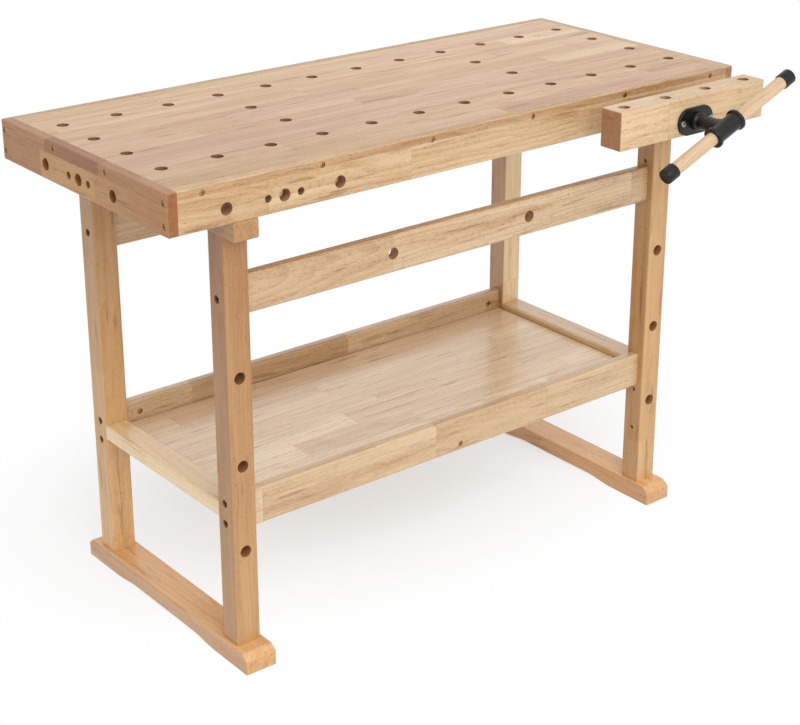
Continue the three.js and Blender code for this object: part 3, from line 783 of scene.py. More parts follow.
# Values of the noises between which a mark comes up, and how streaks crowd the pores
STREAK_RANGE = (0.38, 0.60)
PORE_CROWDING = (0.075, -0.01)
PORE_RANGE = (0.555, 0.66)
STAIN_RANGE = (0.59, 0.70)


def new_group(name, inputs, outputs):
    """A shader node group with named sockets; returns its tree, its inputs and its outputs."""
    tree = bpy.data.node_groups.new(name, "ShaderNodeTree")
    for socket, kind, value in inputs:
        made = tree.interface.new_socket(socket, in_out="INPUT", socket_type=kind)
        if value is not None:
            made.default_value = value
    for socket, kind in outputs:
        tree.interface.new_socket(socket, in_out="OUTPUT", socket_type=kind)
    return tree, tree.nodes.new("NodeGroupInput").outputs, tree.nodes.new("NodeGroupOutput")


def stave_group():
    """Staves glued edge to edge and finger-jointed end to end: their shades, places and joints."""
    tree, given, made = new_group(
        "staves",
        [("Grain", VECTOR, None), ("Board", FLOAT, 0.0), ("Strip Width", FLOAT, 0.05),
         ("Strip Start", FLOAT, 0.0), ("Piece Length", FLOAT, 0.3)],
        [("Shade", FLOAT), ("Lean", FLOAT), ("Stave", VECTOR), ("Joint", FLOAT)])
    along, across, through = split(given["Grain"])
    strip = maths("DIVIDE", maths("ADD", across, given["Strip Start"]), given["Strip Width"])
    row = maths("FLOOR", strip)
    row_chance = chance(tree, row, given["Board"], ROW_KEY)["Value"]
    fingers = maths("MULTIPLY", maths("PINGPONG", through, FINGER_PITCH), FINGER_SLOPE)
    position = maths("DIVIDE", maths("ADD", along, fingers), given["Piece Length"])
    sway_start = maths("MULTIPLY", row_chance, SWAY_START)
    sway = maths("SINE", maths("MULTIPLY_ADD", position, SWAY_PITCH, sway_start))
    position = maths("ADD", position, maths("MULTIPLY", row_chance, ROW_SHIFT))
    position = maths("MULTIPLY_ADD", sway, SWAY_REACH, position)
    stave_chance = chance(tree, row, maths("FLOOR", position), given["Board"])
    centred = vectors("SUBTRACT", stave_chance["Color"], (0.5, 0.5, 0.5))
    strip_gap = maths("MULTIPLY", maths("PINGPONG", strip, 0.5), given["Strip Width"])
    piece_gap = maths("MULTIPLY", maths("PINGPONG", position, 0.5), given["Piece Length"])
    gap = maths("MINIMUM", strip_gap, piece_gap)
    set_inputs(made, {
        "Shade": stave_chance["Value"],
        "Lean": add_node(tree, "ShaderNodeSeparateColor", {0: stave_chance["Color"]}).outputs[0],
        "Stave": vectors("ADD", given["Grain"], vectors("MULTIPLY", centred, STAVE_SHIFT)),
        "Joint": ranged(gap, GLUE_INNER, GLUE_OUTER, 1.0, 0.0)})
    return tree


def figure_group():
    """The figure of the wood: growth rings round a far pith that leans along the stave, and finer marks."""
    tree, given, made = new_group(
        "figure",
        [("Stave", VECTOR, None), ("Lean", FLOAT, 0.5), ("Ring Spacing", FLOAT, 0.008)],
        [(mark, FLOAT) for mark in ("Rings", "Streak", "Fibre", "Pores", "Cloud", "Stain")])
    stave = given["Stave"]
    along, across, through = split(stave)
    lean = maths("MULTIPLY", maths("SUBTRACT", given["Lean"], 0.5), LEAN_REACH)
    lifted = maths("MULTIPLY_ADD", along, lean, through)
    from_pith = add_node(tree, "ShaderNodeCombineXYZ", {0: 0.0, 1: across, 2: lifted}).outputs[0]
    phase = maths("DIVIDE", vectors("LENGTH", from_pith), given["Ring Spacing"])
    phase = maths("MULTIPLY_ADD", noise(stave, *WANDER), WANDER_REACH, phase)
    phase = maths("FRACT", maths("ADD", noise(stave, *CURL), phase))
    rings = maths("POWER", phase, RING_POWER)
    streak = noise(stave, *STREAK)
    crowd = ranged(streak, *STREAK_RANGE, *PORE_CROWDING)
    set_inputs(made, {
        "Rings": maths("MULTIPLY", rings, ranged(phase, RING_EDGE, 1.0, 1.0, 0.0)),
        "Streak": streak,
        "Fibre": noise(stave, *FIBRE),
        "Pores": ranged(maths("SUBTRACT", noise(stave, *DASHES), crowd), *PORE_RANGE),
        "Cloud": noise(stave, *CLOUD),
        "Stain": ranged(noise(stave, *STAIN), *STAIN_RANGE)})
    return tree


def speckle_group():
    """A fine even grain for coats and castings: a soft patchiness and a small bump."""
    tree, given, made = new_group(
        "speckle", [("Place", VECTOR, None), ("Scale", FLOAT, 900.0)], [("Patch", FLOAT), ("Grain", FLOAT)])
    fine = add_node(
        tree, "ShaderNodeTexNoise", {"Vector": given["Place"], "Scale": given["Scale"], "Detail": 2.0})
    set_inputs(made, {"Patch": noise(given["Place"], *PATCHES), "Grain": fine.outputs[0]})
    return tree


STAVES = stave_group()
FIGURE = figure_group()
SPECKLE = speckle_group()


# Finishes

# Tints that marks on wood multiply its colour by, and how strongly; rounded edges are drawn towards a pale
# tint as a painted highlight
# The tone tint darkens each board by its own tone and by painted shade
TONE_AND_SHADE_TINT = (0.74, 0.66, 0.60, 1)
FIGURE_TINT = (0.70, 0.54, 0.39, 1)
PORE_TINT = (0.52, 0.36, 0.23, 1)
STAIN_TINT = (0.50, 0.38, 0.27, 1)
STAIN_STRENGTH = 0.65
GLUE_TINT = (0.55, 0.42, 0.30, 1)
GLUE_STRENGTH = 0.22
EDGE_HIGHLIGHT_TINT = (1, 0.86, 0.68, 1)
EDGE_HIGHLIGHT_STRENGTH = 0.07
HOLLOW_TINT = (0.58, 0.46, 0.36, 1)
HOLLOW_STRENGTH = 0.85
END_TINT = (0.76, 0.62, 0.54, 1)
PALE_END_TINT = (0.88, 0.81, 0.77, 1)

# Depth of the figure where nothing marks it, and the share of the fibres in it
PLAIN_DEPTH = 0.2
FIBRE_WEIGHT = 0.42

# Height over which the tint of an upper stave ends
UPPER_EDGE = 1.6 * MM

# Relief of the wood, and how much rougher marks make it
PORE_SINK = -0.7
GLUE_SINK = -0.5
WOOD_RELIEF = (0.35, 0.15 * MM)
FIBRE_ROUGHNESS = 0.14
HOLLOW_ROUGHNESS = 0.35
VARNISH_ROUGHNESS = 0.22

# Coats and metals
PALER = 1.6
PATCH_ROUGHNESS = 0.16
COAT_RELIEF = 0.1 * MM
METAL_ROUGHNESS = 0.22
METAL_RELIEF = (0.12, 0.05 * MM)
EVEN_MARKS = (500.0, 500.0, 500.0)
TURNED_MARKS = (60.0, 2600.0, 60.0)


def new_material(name):
    """A material with its tree and its shader."""
    material = bpy.data.materials.new(name)
    material.use_nodes = True
    tree = material.node_tree
    return material, tree, tree.nodes["Principled BSDF"]


def shade_ramp(value, shades):
    """A colour from a row of shades, evenly spread over values from 0 to 1."""
    ramp = add_node(value.id_data, "ShaderNodeValToRGB", {0: value})
    elements = ramp.color_ramp.elements
    elements[0].color = srgb(*shades[0])
    elements[1].color = srgb(*shades[-1])
    for place, shade in enumerate(shades[1:-1], 1):
        elements.new(place / (len(shades) - 1)).color = srgb(*shade)
    return ramp.outputs[0]


def wood(slot, name, shades, piece, strip=0.2, start=60 * MM, gloss=0.42, coat=0.12, figure=0.35,
         rings=8 * MM, upper=None, pores=0.62, ends=END_TINT, streak=1.1, cloud=0.45, hollow=HOLLOW_TINT):
    """Varnished hardwood: staves in several shades, ring figure, streaks, pores, glue lines and end grain.

    Staves are a strip wide, counted from the start, and about a piece long. Where upper is given, the stave
    between its two heights on the board takes its tint. The ends tint darkens end grain, and the hollow tint
    the walls of holes.
    """
    material, tree, shader = new_material(name)
    grain = attribute(tree, "grain")["Vector"]
    bore = attribute(tree, "bore")["Fac"]
    staves = add_node(tree, "ShaderNodeGroup", {
        "Grain": grain, "Board": attribute(tree, "board")["Fac"], "Strip Width": strip, "Strip Start": start,
        "Piece Length": piece}, node_tree=STAVES).outputs
    marks = add_node(tree, "ShaderNodeGroup", {
        "Stave": staves["Stave"], "Lean": staves["Lean"], "Ring Spacing": rings}, node_tree=FIGURE).outputs

    # Each board's own tone and its painted shade, from its tone_and_shade attribute
    colour = deepened(shade_ramp(staves["Shade"], shades), TONE_AND_SHADE_TINT, attribute(tree, "tone_and_shade")["Fac"])
    if upper:
        bottom, top, tint = upper
        height = split(grain)[1]
        below_top = ranged(height, top - UPPER_EDGE, top, 1.0, 0.0)
        colour = deepened(colour, tint, maths("MULTIPLY", maths("GREATER_THAN", height, bottom), below_top))
    depth = PLAIN_DEPTH
    for mark, weight in (("Streak", streak), ("Fibre", FIBRE_WEIGHT), ("Cloud", cloud)):
        depth = maths("MULTIPLY_ADD", maths("SUBTRACT", marks[mark], 0.5), weight, depth)
    depth = maths("MULTIPLY_ADD", marks["Rings"], figure, depth)
    colour = deepened(colour, FIGURE_TINT, add_node(tree, "ShaderNodeClamp", {0: depth}).outputs[0])
    colour = deepened(colour, PORE_TINT, marks["Pores"], pores)
    colour = deepened(colour, STAIN_TINT, marks["Stain"], STAIN_STRENGTH)
    colour = deepened(colour, GLUE_TINT, staves["Joint"], GLUE_STRENGTH)
    colour = deepened(colour, ends, attribute(tree, "end_grain")["Fac"])
    # Painted highlight: rounded edges are drawn towards a pale tint
    colour = mixed(maths("MULTIPLY", attribute(tree, "edge")["Fac"], EDGE_HIGHLIGHT_STRENGTH), colour, EDGE_HIGHLIGHT_TINT)

    relief = maths("MULTIPLY_ADD", marks["Pores"], PORE_SINK, marks["Fibre"])
    relief = maths("MULTIPLY_ADD", staves["Joint"], GLUE_SINK, relief)
    rough = varied(marks["Fibre"], gloss, FIBRE_ROUGHNESS)
    set_inputs(shader, {
        "Base Color": deepened(colour, hollow, bore, HOLLOW_STRENGTH),
        "Roughness": maths("MULTIPLY_ADD", bore, HOLLOW_ROUGHNESS, rough),
        "Normal": bumped(relief, *WOOD_RELIEF),
        "Coat Weight": coat,
        "Coat Roughness": VARNISH_ROUGHNESS})
    return Finish(material, slot)


def coated(slot, name, colour, roughness, grain, bump, specular):
    """A black coat or moulded rubber: an even colour with soft patches and a fine grain."""
    material, tree, shader = new_material(name)
    place = add_node(tree, "ShaderNodeTexCoord").outputs["Object"]
    speckle = add_node(tree, "ShaderNodeGroup", {"Place": place, "Scale": grain}, node_tree=SPECKLE).outputs
    paler = tuple(part * PALER for part in colour[:3]) + (1,)
    set_inputs(shader, {
        "Base Color": mixed(speckle["Patch"], colour, paler),
        "Roughness": varied(speckle["Patch"], roughness, PATCH_ROUGHNESS),
        "Normal": bumped(speckle["Grain"], bump, COAT_RELIEF),
        "Specular IOR Level": specular})
    return Finish(material, slot)


def metal(name, colour, dull, roughness, waves):
    """Bare or plated metal: tool marks with their own waves along each direction, and cloudy dulling."""
    material, tree, shader = new_material(name)
    place = add_node(tree, "ShaderNodeTexCoord").outputs["Object"]
    speckle = add_node(tree, "ShaderNodeGroup", {"Place": place}, node_tree=SPECKLE).outputs
    marks = noise(place, waves)
    set_inputs(shader, {
        "Base Color": mixed(speckle["Patch"], colour, dull),
        "Roughness": varied(marks, roughness, METAL_ROUGHNESS),
        "Normal": bumped(marks, *METAL_RELIEF),
        "Metallic": 1.0})
    return Finish(material, "bright_steel")


TOP_WOOD = wood(
    "bench_wood", "top wood", [(236, 207, 169), (223, 184, 155), (229, 198, 157), (210, 167, 138)],
    piece=0.42, strip=52 * MM, start=14 * MM, gloss=0.46, pores=0.34, cloud=1.6,
    hollow=(0.30, 0.20, 0.14, 1))
APRON_WOOD = wood(
    "bench_wood", "apron wood", [(214, 186, 146), (212, 181, 140), (209, 177, 136), (206, 173, 133)],
    piece=0.30, strip=55 * MM, start=0.0, gloss=0.46, figure=0.6, cloud=1.4,
    upper=(55 * MM, 66.8 * MM, (0.86, 0.78, 0.72, 1)))
# The end board's upper stave is a darker stave; its tint also covers the board's top face, as painted shade
# there
END_WOOD = wood(
    "bench_wood", "end board wood", [(216, 171, 112), (204, 157, 99), (187, 136, 81), (178, 123, 72)],
    piece=0.15, strip=47 * MM, start=0.0, upper=(47 * MM, 75 * MM, (0.74, 0.63, 0.58, 1)))
LEG_WOOD = wood(
    "leg_wood", "leg wood", [(219, 178, 124), (214, 171, 117), (210, 165, 111), (206, 159, 106)],
    piece=0.8, coat=0.35, ends=(0.98, 0.97, 0.97, 1), pores=0.5)
# A paler copy of the leg wood, as painted light: it stands for the sheen on the side rails and the light on
# the rear right post
LIT_LEG_WOOD = wood(
    "leg_wood", "lit leg wood", [(255, 230, 180), (252, 222, 170)],
    piece=0.9, gloss=0.30, coat=1.0, ends=PALE_END_TINT, pores=0.35, streak=0.7)
FOOT_WOOD = wood(
    "leg_wood", "foot wood", [(232, 184, 128), (224, 174, 118)],
    piece=0.9, coat=0.6, ends=PALE_END_TINT, pores=0.5)
RAIL_WOOD = wood(
    "bench_wood", "rail wood", [(226, 201, 164), (219, 191, 151), (211, 181, 141), (205, 172, 131)],
    piece=0.30, coat=0.8, figure=0.6, rings=6 * MM, pores=0.75, cloud=1.2)
TRAY_WOOD = wood(
    "bench_wood", "shelf rail wood", [(232, 207, 170), (222, 193, 152), (213, 181, 139), (206, 171, 128)],
    piece=0.30, gloss=0.36, coat=0.9, figure=0.45, rings=6 * MM, cloud=1.5)
# The shelf's shades are paler than the wood, as painted light that makes up for the shade under the top
SHELF_WOOD = wood(
    "shelf_wood", "shelf wood", [(254, 238, 206), (250, 228, 194), (245, 220, 184), (236, 208, 172)],
    piece=0.34, strip=58 * MM, start=0.0, gloss=0.34, coat=0.9, figure=0.5, pores=0.5, cloud=1.2)
# The jaw's end tint is deep: partly its end grain, and partly painted shade on its left end
JAW_WOOD = wood(
    "bench_wood", "jaw wood", [(236, 211, 173), (232, 204, 163), (228, 198, 155)],
    piece=0.24, ends=(0.50, 0.33, 0.24, 1))
BAR_WOOD = wood(
    "bar_wood", "bar wood", [(230, 204, 170), (224, 196, 160)],
    piece=2.0, strip=0.5, start=0.2, gloss=0.55, coat=0.0, rings=5 * MM, pores=0.3)
BLACK_COAT = coated(
    "black_iron", "black powder coat", srgb(15, 14, 13),
    roughness=0.28, grain=1400.0, bump=0.16, specular=0.40)
BLACK_RUBBER = coated(
    "black_rubber", "black rubber", srgb(19, 17, 16),
    roughness=0.32, grain=700.0, bump=0.08, specular=0.36)
STEEL = metal("turned steel", srgb(196, 197, 198), srgb(168, 168, 168), roughness=0.30, waves=TURNED_MARKS)
ZINC = metal("plated screw", srgb(206, 174, 112), srgb(156, 122, 70), roughness=0.30, waves=EVEN_MARKS)
BRONZE = metal("bronzed bolt", srgb(142, 112, 84), srgb(96, 72, 52), roughness=0.36, waves=EVEN_MARKS)

# The top is darker towards its left end and lighter towards its far edge, as painted light and shade
TOP_LIGHT_AND_SHADE = ToneAndShade(0.81, 0.20, far_edge_shade=-0.8)
FRONT_APRON_TONE = ToneAndShade(-0.2, 0.1)
# The bearers are darker all over as painted shade under the aprons
BEARER_SHADE = ToneAndShade(1.0, 1.0)
# The feet are lighter all over, and darker on their left faces as painted shade
FOOT_TONE_AND_SHADE = ToneAndShade(-0.5, -0.5, left_face_shade=1.0)
SIDE_RAIL_TONES = {"left": ToneAndShade(0.1, 0.1), "right": ToneAndShade(0.8, 0.8)}
SHELF_RAIL_TONES = {"front": ToneAndShade(0.1, -0.35), "back": ToneAndShade(0.35, 0.35)}
# Each post is darker towards its top, as painted shade under the bench top, and on its left face, as painted
# shade; their other differences are the posts' own tones
POSTS = {
    "front_left_post": (LEG_WOOD, ToneAndShade(0.2, 1.2, left_face_shade=0.4)),
    "rear_left_post": (LEG_WOOD, ToneAndShade(-0.9, 0.5, left_face_shade=0.35)),
    "front_right_post": (LEG_WOOD, ToneAndShade(-0.35, 0.1, left_face_shade=0.7)),
    "rear_right_post": (LIT_LEG_WOOD, ToneAndShade(left_face_shade=1.85)),
}


# The bench


def dog_places():
    """Places of the dog holes in the top: two outer rows, and four columns that hold every row."""
    front = box_of("front_apron")[LOW][Y]
    left = box_of("left_end_board")[LOW][X]
    column = np.arange(DOG_COLUMNS)
    from_end = np.minimum(column, DOG_COLUMNS - 1 - column)
    full = (from_end == 0) | (from_end == DOG_FULL_STEP)
    places = []
    for row in range(DOG_ROWS):
        y = front + DOG_ROW_FIRST + row * DOG_ROW_PITCH
        shown = column if row in (0, DOG_ROWS - 1) else column[full]
        places += [(left + DOG_FIRST + DOG_PITCH * one, y) for one in shown]
    return places


def vise_holes(axis, centre, thickness):
    """Holes for a vise in a row along a board: for rods and screw, and stepped for the nut's bolts."""
    holes = []
    for offset in (-ROD_SPACING / 2, 0, ROD_SPACING / 2, *NUT_BOLT_OFFSETS):
        place = (VISE_Z, centre + offset) if axis == Y else (centre + offset, VISE_Z)
        if offset in NUT_BOLT_OFFSETS:
            holes.append(stepped_hole(
                axis, LOW, place, NUT_RECESS_RADIUS, NUT_RECESS_DEPTH, NUT_BOLT_RADIUS, thickness))
        else:
            holes.append(through_hole(axis, place, DOG_RADIUS, thickness))
    return holes


def screw_hole(axis, side, place, margin=TILE_MARGIN):
    """The recess of a wood screw's head."""
    return blind_hole(axis, side, place, SCREW_RECESS_RADIUS, SCREW_RECESS_DEPTH, margin)


def end_screw_places(node):
    """Places of the six screws in an end board, as Y and Z: two by each apron, and two into the panel."""
    top = box_of(node)[HIGH][Z]
    middle = middle_of(node)[Y]
    places = []
    for sign in (-1, 1):
        places += [(middle + sign * CORNER_SCREW_REACH, top - drop) for drop in CORNER_SCREW_DROPS]
        places.append((middle + sign * PANEL_SCREW_REACH, top - PANEL_SCREW_DROP))
    return places


def make_panel():
    """The working surface inside the aprons, drilled for the dogs."""
    low, high = box_of("top_panel")
    holes = [through_hole(Z, place, DOG_RADIUS, high[Z] - low[Z]) for place in dog_places()]
    board("top_boards", "top_panel", (X, Y, Z), TOP_WOOD, 1, holes, PANEL_ROUND,
          lap=(PANEL_LAP, PANEL_LAP, 0), tone_and_shade=TOP_LIGHT_AND_SHADE)


def make_aprons():
    """The long boards at the front, drilled for two vises, and at the back."""
    low, high = box_of("front_apron")
    holes = {"front": [], "back": []}
    for centre in (VISE_X, OTHER_VISE_X):
        holes["front"] += vise_holes(Y, centre, high[Y] - low[Y])
    for end, side, number, tone_and_shade in (("front", LOW, 8, FRONT_APRON_TONE), ("back", HIGH, 3, ToneAndShade())):
        holes[end] += [
            screw_hole(Y, side, (high[Z] - PANEL_SCREW_DROP, x), APRON_SCREW_MARGIN) for x in APRON_SCREWS]
        board(f"{end}_apron_board", f"{end}_apron", (X, Z, Y), APRON_WOOD, number, holes[end],
              lap=(APRON_LAP, 0, 0), tone_and_shade=tone_and_shade)


def make_end_boards():
    """The short boards of the frame round the top; the left one is drilled for a vise."""
    for side, node, finish, number in (
            (LOW, "left_end_board", END_WOOD, 110), (HIGH, "right_end_board", APRON_WOOD, 5)):
        holes = [screw_hole(X, side, place, END_SCREW_MARGIN) for place in end_screw_places(node)]
        if side == LOW:
            low, high = box_of(node)
            holes += vise_holes(X, middle_of(node)[Y] + END_VISE_OFFSET, high[X] - low[X])
        board(node + "_wood", node, (Y, Z, X), finish, number, holes)


def foot_shape(points, low, high):
    """Bends a straight beam into a sled foot: both top ends slope off, and a relief has soft ramps below."""
    height = high[Z] - low[Z]
    half = (high[Y] - low[Y]) / 2
    from_middle = np.abs(points[:, Y] - (low[Y] + high[Y]) / 2)
    past = (from_middle - (half - SLOPE_LENGTH)) / SLOPE_LENGTH
    drop = SLOPE_DROP * (past + np.sqrt(past ** 2 + SLOPE_SOFTNESS ** 2)) / 2
    ramp = np.clip((RELIEF_END - from_middle) / (RELIEF_END - RELIEF_FLAT), 0, 1)
    lift = RELIEF_RISE * ramp * ramp * (3 - 2 * ramp)
    part = (points[:, Z] - low[Z]) / height
    points[:, Z] += lift * (1 - part) - drop * part


def make_foot(side, number):
    """A sled foot: a beam with close grid lines where it bends."""
    node = f"{side}_foot"
    low, high = box_of(node)
    middle = (low[Y] + high[Y]) / 2
    half = (high[Y] - low[Y]) / 2
    bends = half - SLOPE_LENGTH * BEND_LINES
    ramps = np.linspace(RELIEF_FLAT, RELIEF_END, RAMP_STEPS)
    places = np.concatenate([middle - bends, middle - ramps, middle + ramps, middle + bends])
    form = drilled_block(low, high, EDGE_ROUND, more={Y: places})
    foot_shape(form.points, low, high)
    piece = make_piece(f"{side}_sled_foot", form, FOOT_WOOD, BENCH, node)
    lay_grain(piece, low, UNIT[[Y, X, Z]], number, FOOT_TONE_AND_SHADE)


def make_post(end, side, outer, number):
    """A post from foot to bearer: bolt recesses outside, pilot holes inside, peg holes in a front one."""
    node = f"{end}_{side}_post"
    low, high = box_of(node)
    middle = middle_of(node)
    rail_y = middle_of(f"{end}_upper_stretcher")[Y]
    holes = [blind_hole(X, outer, (rail_y, z), BOLT_RECESS_RADIUS, BOLT_RECESS_DEPTH) for z in BOLT_HEIGHTS]
    holes += [blind_hole(X, 1 - outer, (middle[Y], z), PILOT_RADIUS, PILOT_DEPTH) for z in PILOT_HEIGHTS]
    if end == "front":
        holes += [through_hole(Y, (z, middle[X]), DOG_RADIUS, high[Y] - low[Y]) for z in PEG_HEIGHTS]
    low[Z] = box_of(f"{side}_foot")[HIGH][Z]
    high[Z] = box_of(f"{side}_bearer")[LOW][Z]
    finish, tone_and_shade = POSTS[node]
    board(f"{end}_{side}_leg", node, (Z, X, Y), finish, number, holes, limits=(low, high),
          lap=(0, 0, FRAME_LAP), tone_and_shade=tone_and_shade)


def make_side_rail(side, number):
    """The low beam between the posts of a leg frame."""
    node = f"{side}_side_stretcher"
    low, high = box_of(node)
    low[Y] = box_of(f"front_{side}_post")[HIGH][Y]
    high[Y] = box_of(f"rear_{side}_post")[LOW][Y]
    board(f"{side}_side_rail", node, (Y, X, Z), LIT_LEG_WOOD, number, radius=RAIL_ROUND, limits=(low, high),
          lap=(0, FRAME_LAP, 0), tone_and_shade=SIDE_RAIL_TONES[side])


def make_legs():
    """Both leg frames: a foot, a bearer, two posts and a side rail each."""
    for (side, outer, _), number in zip(SIDES, (10, 18)):
        make_foot(side, number)
        board(f"{side}_bearer_beam", f"{side}_bearer", (Y, Z, X), LEG_WOOD, number + 1, tone_and_shade=BEARER_SHADE)
        make_post("front", side, outer, number + 2)
        make_post("rear", side, outer, number + 4)
        make_side_rail(side, number + 5)


def barrel_holes(node, side, height):
    """Barrel-nut holes in one face of a rail, near both ends."""
    low, high = box_of(node)
    ends = (low[X] + BARREL_INSET, high[X] - BARREL_INSET)
    return [blind_hole(Y, side, (height, x), BARREL_RADIUS, BARREL_DEPTH) for x in ends]


def make_rails():
    """The boards between the leg frames: two upper stretchers, and the shelf with its rails and cleat."""
    stretcher_height, rail_height, _ = BOLT_HEIGHTS
    for end, number in (("front", 40), ("rear", 41)):
        node = f"{end}_upper_stretcher"
        low, high = box_of(node)
        holes = barrel_holes(node, HIGH, stretcher_height)
        if end == "front":
            holes += [
                through_hole(Y, (stretcher_height, x), DOG_RADIUS, high[Y] - low[Y]) for x in STRETCHER_DOGS]
        board(f"{end}_stretcher_board", node, (X, Z, Y), RAIL_WOOD, number, holes, RAIL_ROUND,
              lap=(FRAME_LAP, 0, 0))
    for end, side, number in (("front", HIGH, 49), ("back", LOW, 43)):
        node = f"shelf_{end}_rail"
        holes = barrel_holes(node, side, rail_height)
        if end == "front":
            holes.append(screw_hole(Y, LOW, (RAIL_SCREW_HEIGHT, 0.0)))
        board(f"shelf_{end}_board", node, (X, Z, Y), TRAY_WOOD, number, holes, TRAY_ROUND,
              lap=(FRAME_LAP, 0, 0), tone_and_shade=SHELF_RAIL_TONES[end])
    make_shelf()
    board("shelf_cleat", "shelf_batten", (Y, X, Z), RAIL_WOOD, 45)


def make_shelf():
    """The shelf's boards with an open joint round them, on a thinner tongue that runs into the rails."""
    low, high = box_of("shelf_panel")
    low[Y] = box_of("shelf_front_rail")[HIGH][Y]
    high[Y] = box_of("shelf_back_rail")[LOW][Y]
    inset = np.array([SHELF_GAP, SHELF_GAP, TONGUE_FLOOR])
    boards = drilled_block(low + inset, high - inset * (1, 1, 0), PANEL_ROUND)
    lap = np.array([0, PANEL_LAP, 0])
    tongue = drilled_block(low - lap, high + lap - (0, 0, TONGUE_DROP), PANEL_ROUND)
    piece = make_piece("shelf_boards", joined([boards, tongue]), SHELF_WOOD, BENCH, "shelf_panel")
    lay_grain(piece, low, UNIT, 44)


def make_frame_bolts():
    """Socket-head bolts in the recesses of the posts, and slotted barrel nuts in the rails."""
    bolts = {}
    nuts = {}
    for end, inward in (("front", UNIT[Y]), ("rear", -UNIT[Y])):
        for side, outer, sign in SIDES:
            for level in ("stretcher", "shelf_upper", "shelf_lower"):
                node = f"bolt_{end}_{side}_{level}"
                base = middle_of(node)
                base[X] = box_of(node)[outer][X] - sign * POST_BOLT.height
                bolts[node] = fastener(base, sign * UNIT[X], POST_BOLT)
                node = f"barrel_nut_{end}_{side}_{level}"
                way = UNIT[Y] if level == "stretcher" else inward
                nuts[node] = fastener(middle_of(node) - way * BARREL_NUT.height / 2, way, BARREL_NUT)
    make_piece("post_bolts", joined(list(bolts.values())), BRONZE, BENCH, *bolts)
    make_piece("barrel_nuts", joined(list(nuts.values())), ZINC, BENCH, *nuts)


def make_wood_screws():
    """Cross-head screws sunk in the aprons, the end boards and the shelf's front rail."""
    front = box_of("front_apron")[LOW]
    back = box_of("back_apron")[HIGH]
    height = back[Z] - PANEL_SCREW_DROP
    places = [((x, front[Y], height), -UNIT[Y]) for x in APRON_SCREWS]
    places += [((x, back[Y], height), UNIT[Y]) for x in APRON_SCREWS]
    for side, outer, sign in SIDES:
        node = f"{side}_end_board"
        face = box_of(node)[outer][X]
        places += [((face, y, z), sign * UNIT[X]) for y, z in end_screw_places(node)]
    places.append(((0.0, box_of("shelf_front_rail")[LOW][Y], RAIL_SCREW_HEIGHT), -UNIT[Y]))
    heads = [fastener(place - way * SCREW_RECESS_DEPTH, way, WOOD_SCREW) for place, way in places]
    make_piece("wood_screws", joined(heads), ZINC, BENCH)


def make_vise_inserts():
    """Threaded inserts in the empty front vise position, and the nut plate's two bolts in the used one."""
    floor = box_of("front_apron")[LOW][Y] + NUT_RECESS_DEPTH
    ring = profile((0, [
        (3, 0), (5.4, 0), (5.7, 0.3), (5.7, 1.5), (5.3, 1.8), (3.9, 1.8), (3.2, 1.5), (3, 0.9), (3, 0)]))
    inserts = []
    bolts = []
    for offset in NUT_BOLT_OFFSETS:
        base = (OTHER_VISE_X + offset, floor, VISE_Z)
        inserts.append(turned(base, -UNIT[Y], *ring, SMALL_STEPS, closed=True))
        bolts.append(fastener((VISE_X + offset, floor, VISE_Z), -UNIT[Y], NUT_BOLT))
    make_piece("thread_inserts", joined(inserts), BRONZE, BENCH)
    make_piece("nut_plate_bolts", joined(bolts), STEEL, BENCH)


# The vise


def axis_of(node):
    """A point on the line that runs from front to back through the middle of a CAD node."""
    return middle_of(node) * (1, 0, 1)


def make_nut():
    """The flanged nut behind the apron: a slot-shaped plate, and a boss that flares out of it."""
    low, high = box_of("vise_nut_plate")
    front, back = low[Y], high[Y]
    step = front + NUT_PLATE_THICKNESS
    outline, outward = stadium(VISE_AXIS, high[X] - low[X], high[Z] - low[Z])
    insets, heights = profile((front, [(0.4, 0), (0, 0.4)]), (step, [(0, -1.0), (0.3, -0.3), (1.0, 0)]))
    flange = plate(outline[::-1], outward[::-1], UNIT[Y], insets, heights)
    boss = turned(VISE_AXIS, UNIT[Y], *profile(
        (step, [(19.5, -0.2), (18.0, 0.7), (17.2, 2.0), (17.0, 4.0)]),
        (back, [(17.0, -1.0), (16.2, 0), (10.4, 0), (9.4, -1.0)]),
        (step, [(9.4, 0)])))
    make_piece("nut_casting", joined([flange, boss]), BLACK_COAT, BENCH, "vise_nut_plate")


def make_sleeves():
    """The two flanged sleeves behind the apron in which the rods run."""
    sleeves = {}
    for node in ("rod_sleeve_left", "rod_sleeve_right"):
        low, high = box_of(node)
        sleeves[node] = turned(axis_of(node), UNIT[Y], *profile(
            (low[Y], [(9.8, 0), (20.6, 0), (21, 0.5), (21, 4.3), (20.4, 5), (15.2, 5), (14.2, 5.8),
                      (14, 7.5)]),
            (high[Y], [(14, -0.8), (13.3, 0), (10.4, 0), (9.8, -0.6)]),
            (low[Y], [(9.8, 0)])), closed=True)
    make_piece("rod_sleeves", joined(list(sleeves.values())), BLACK_COAT, BENCH, *sleeves)


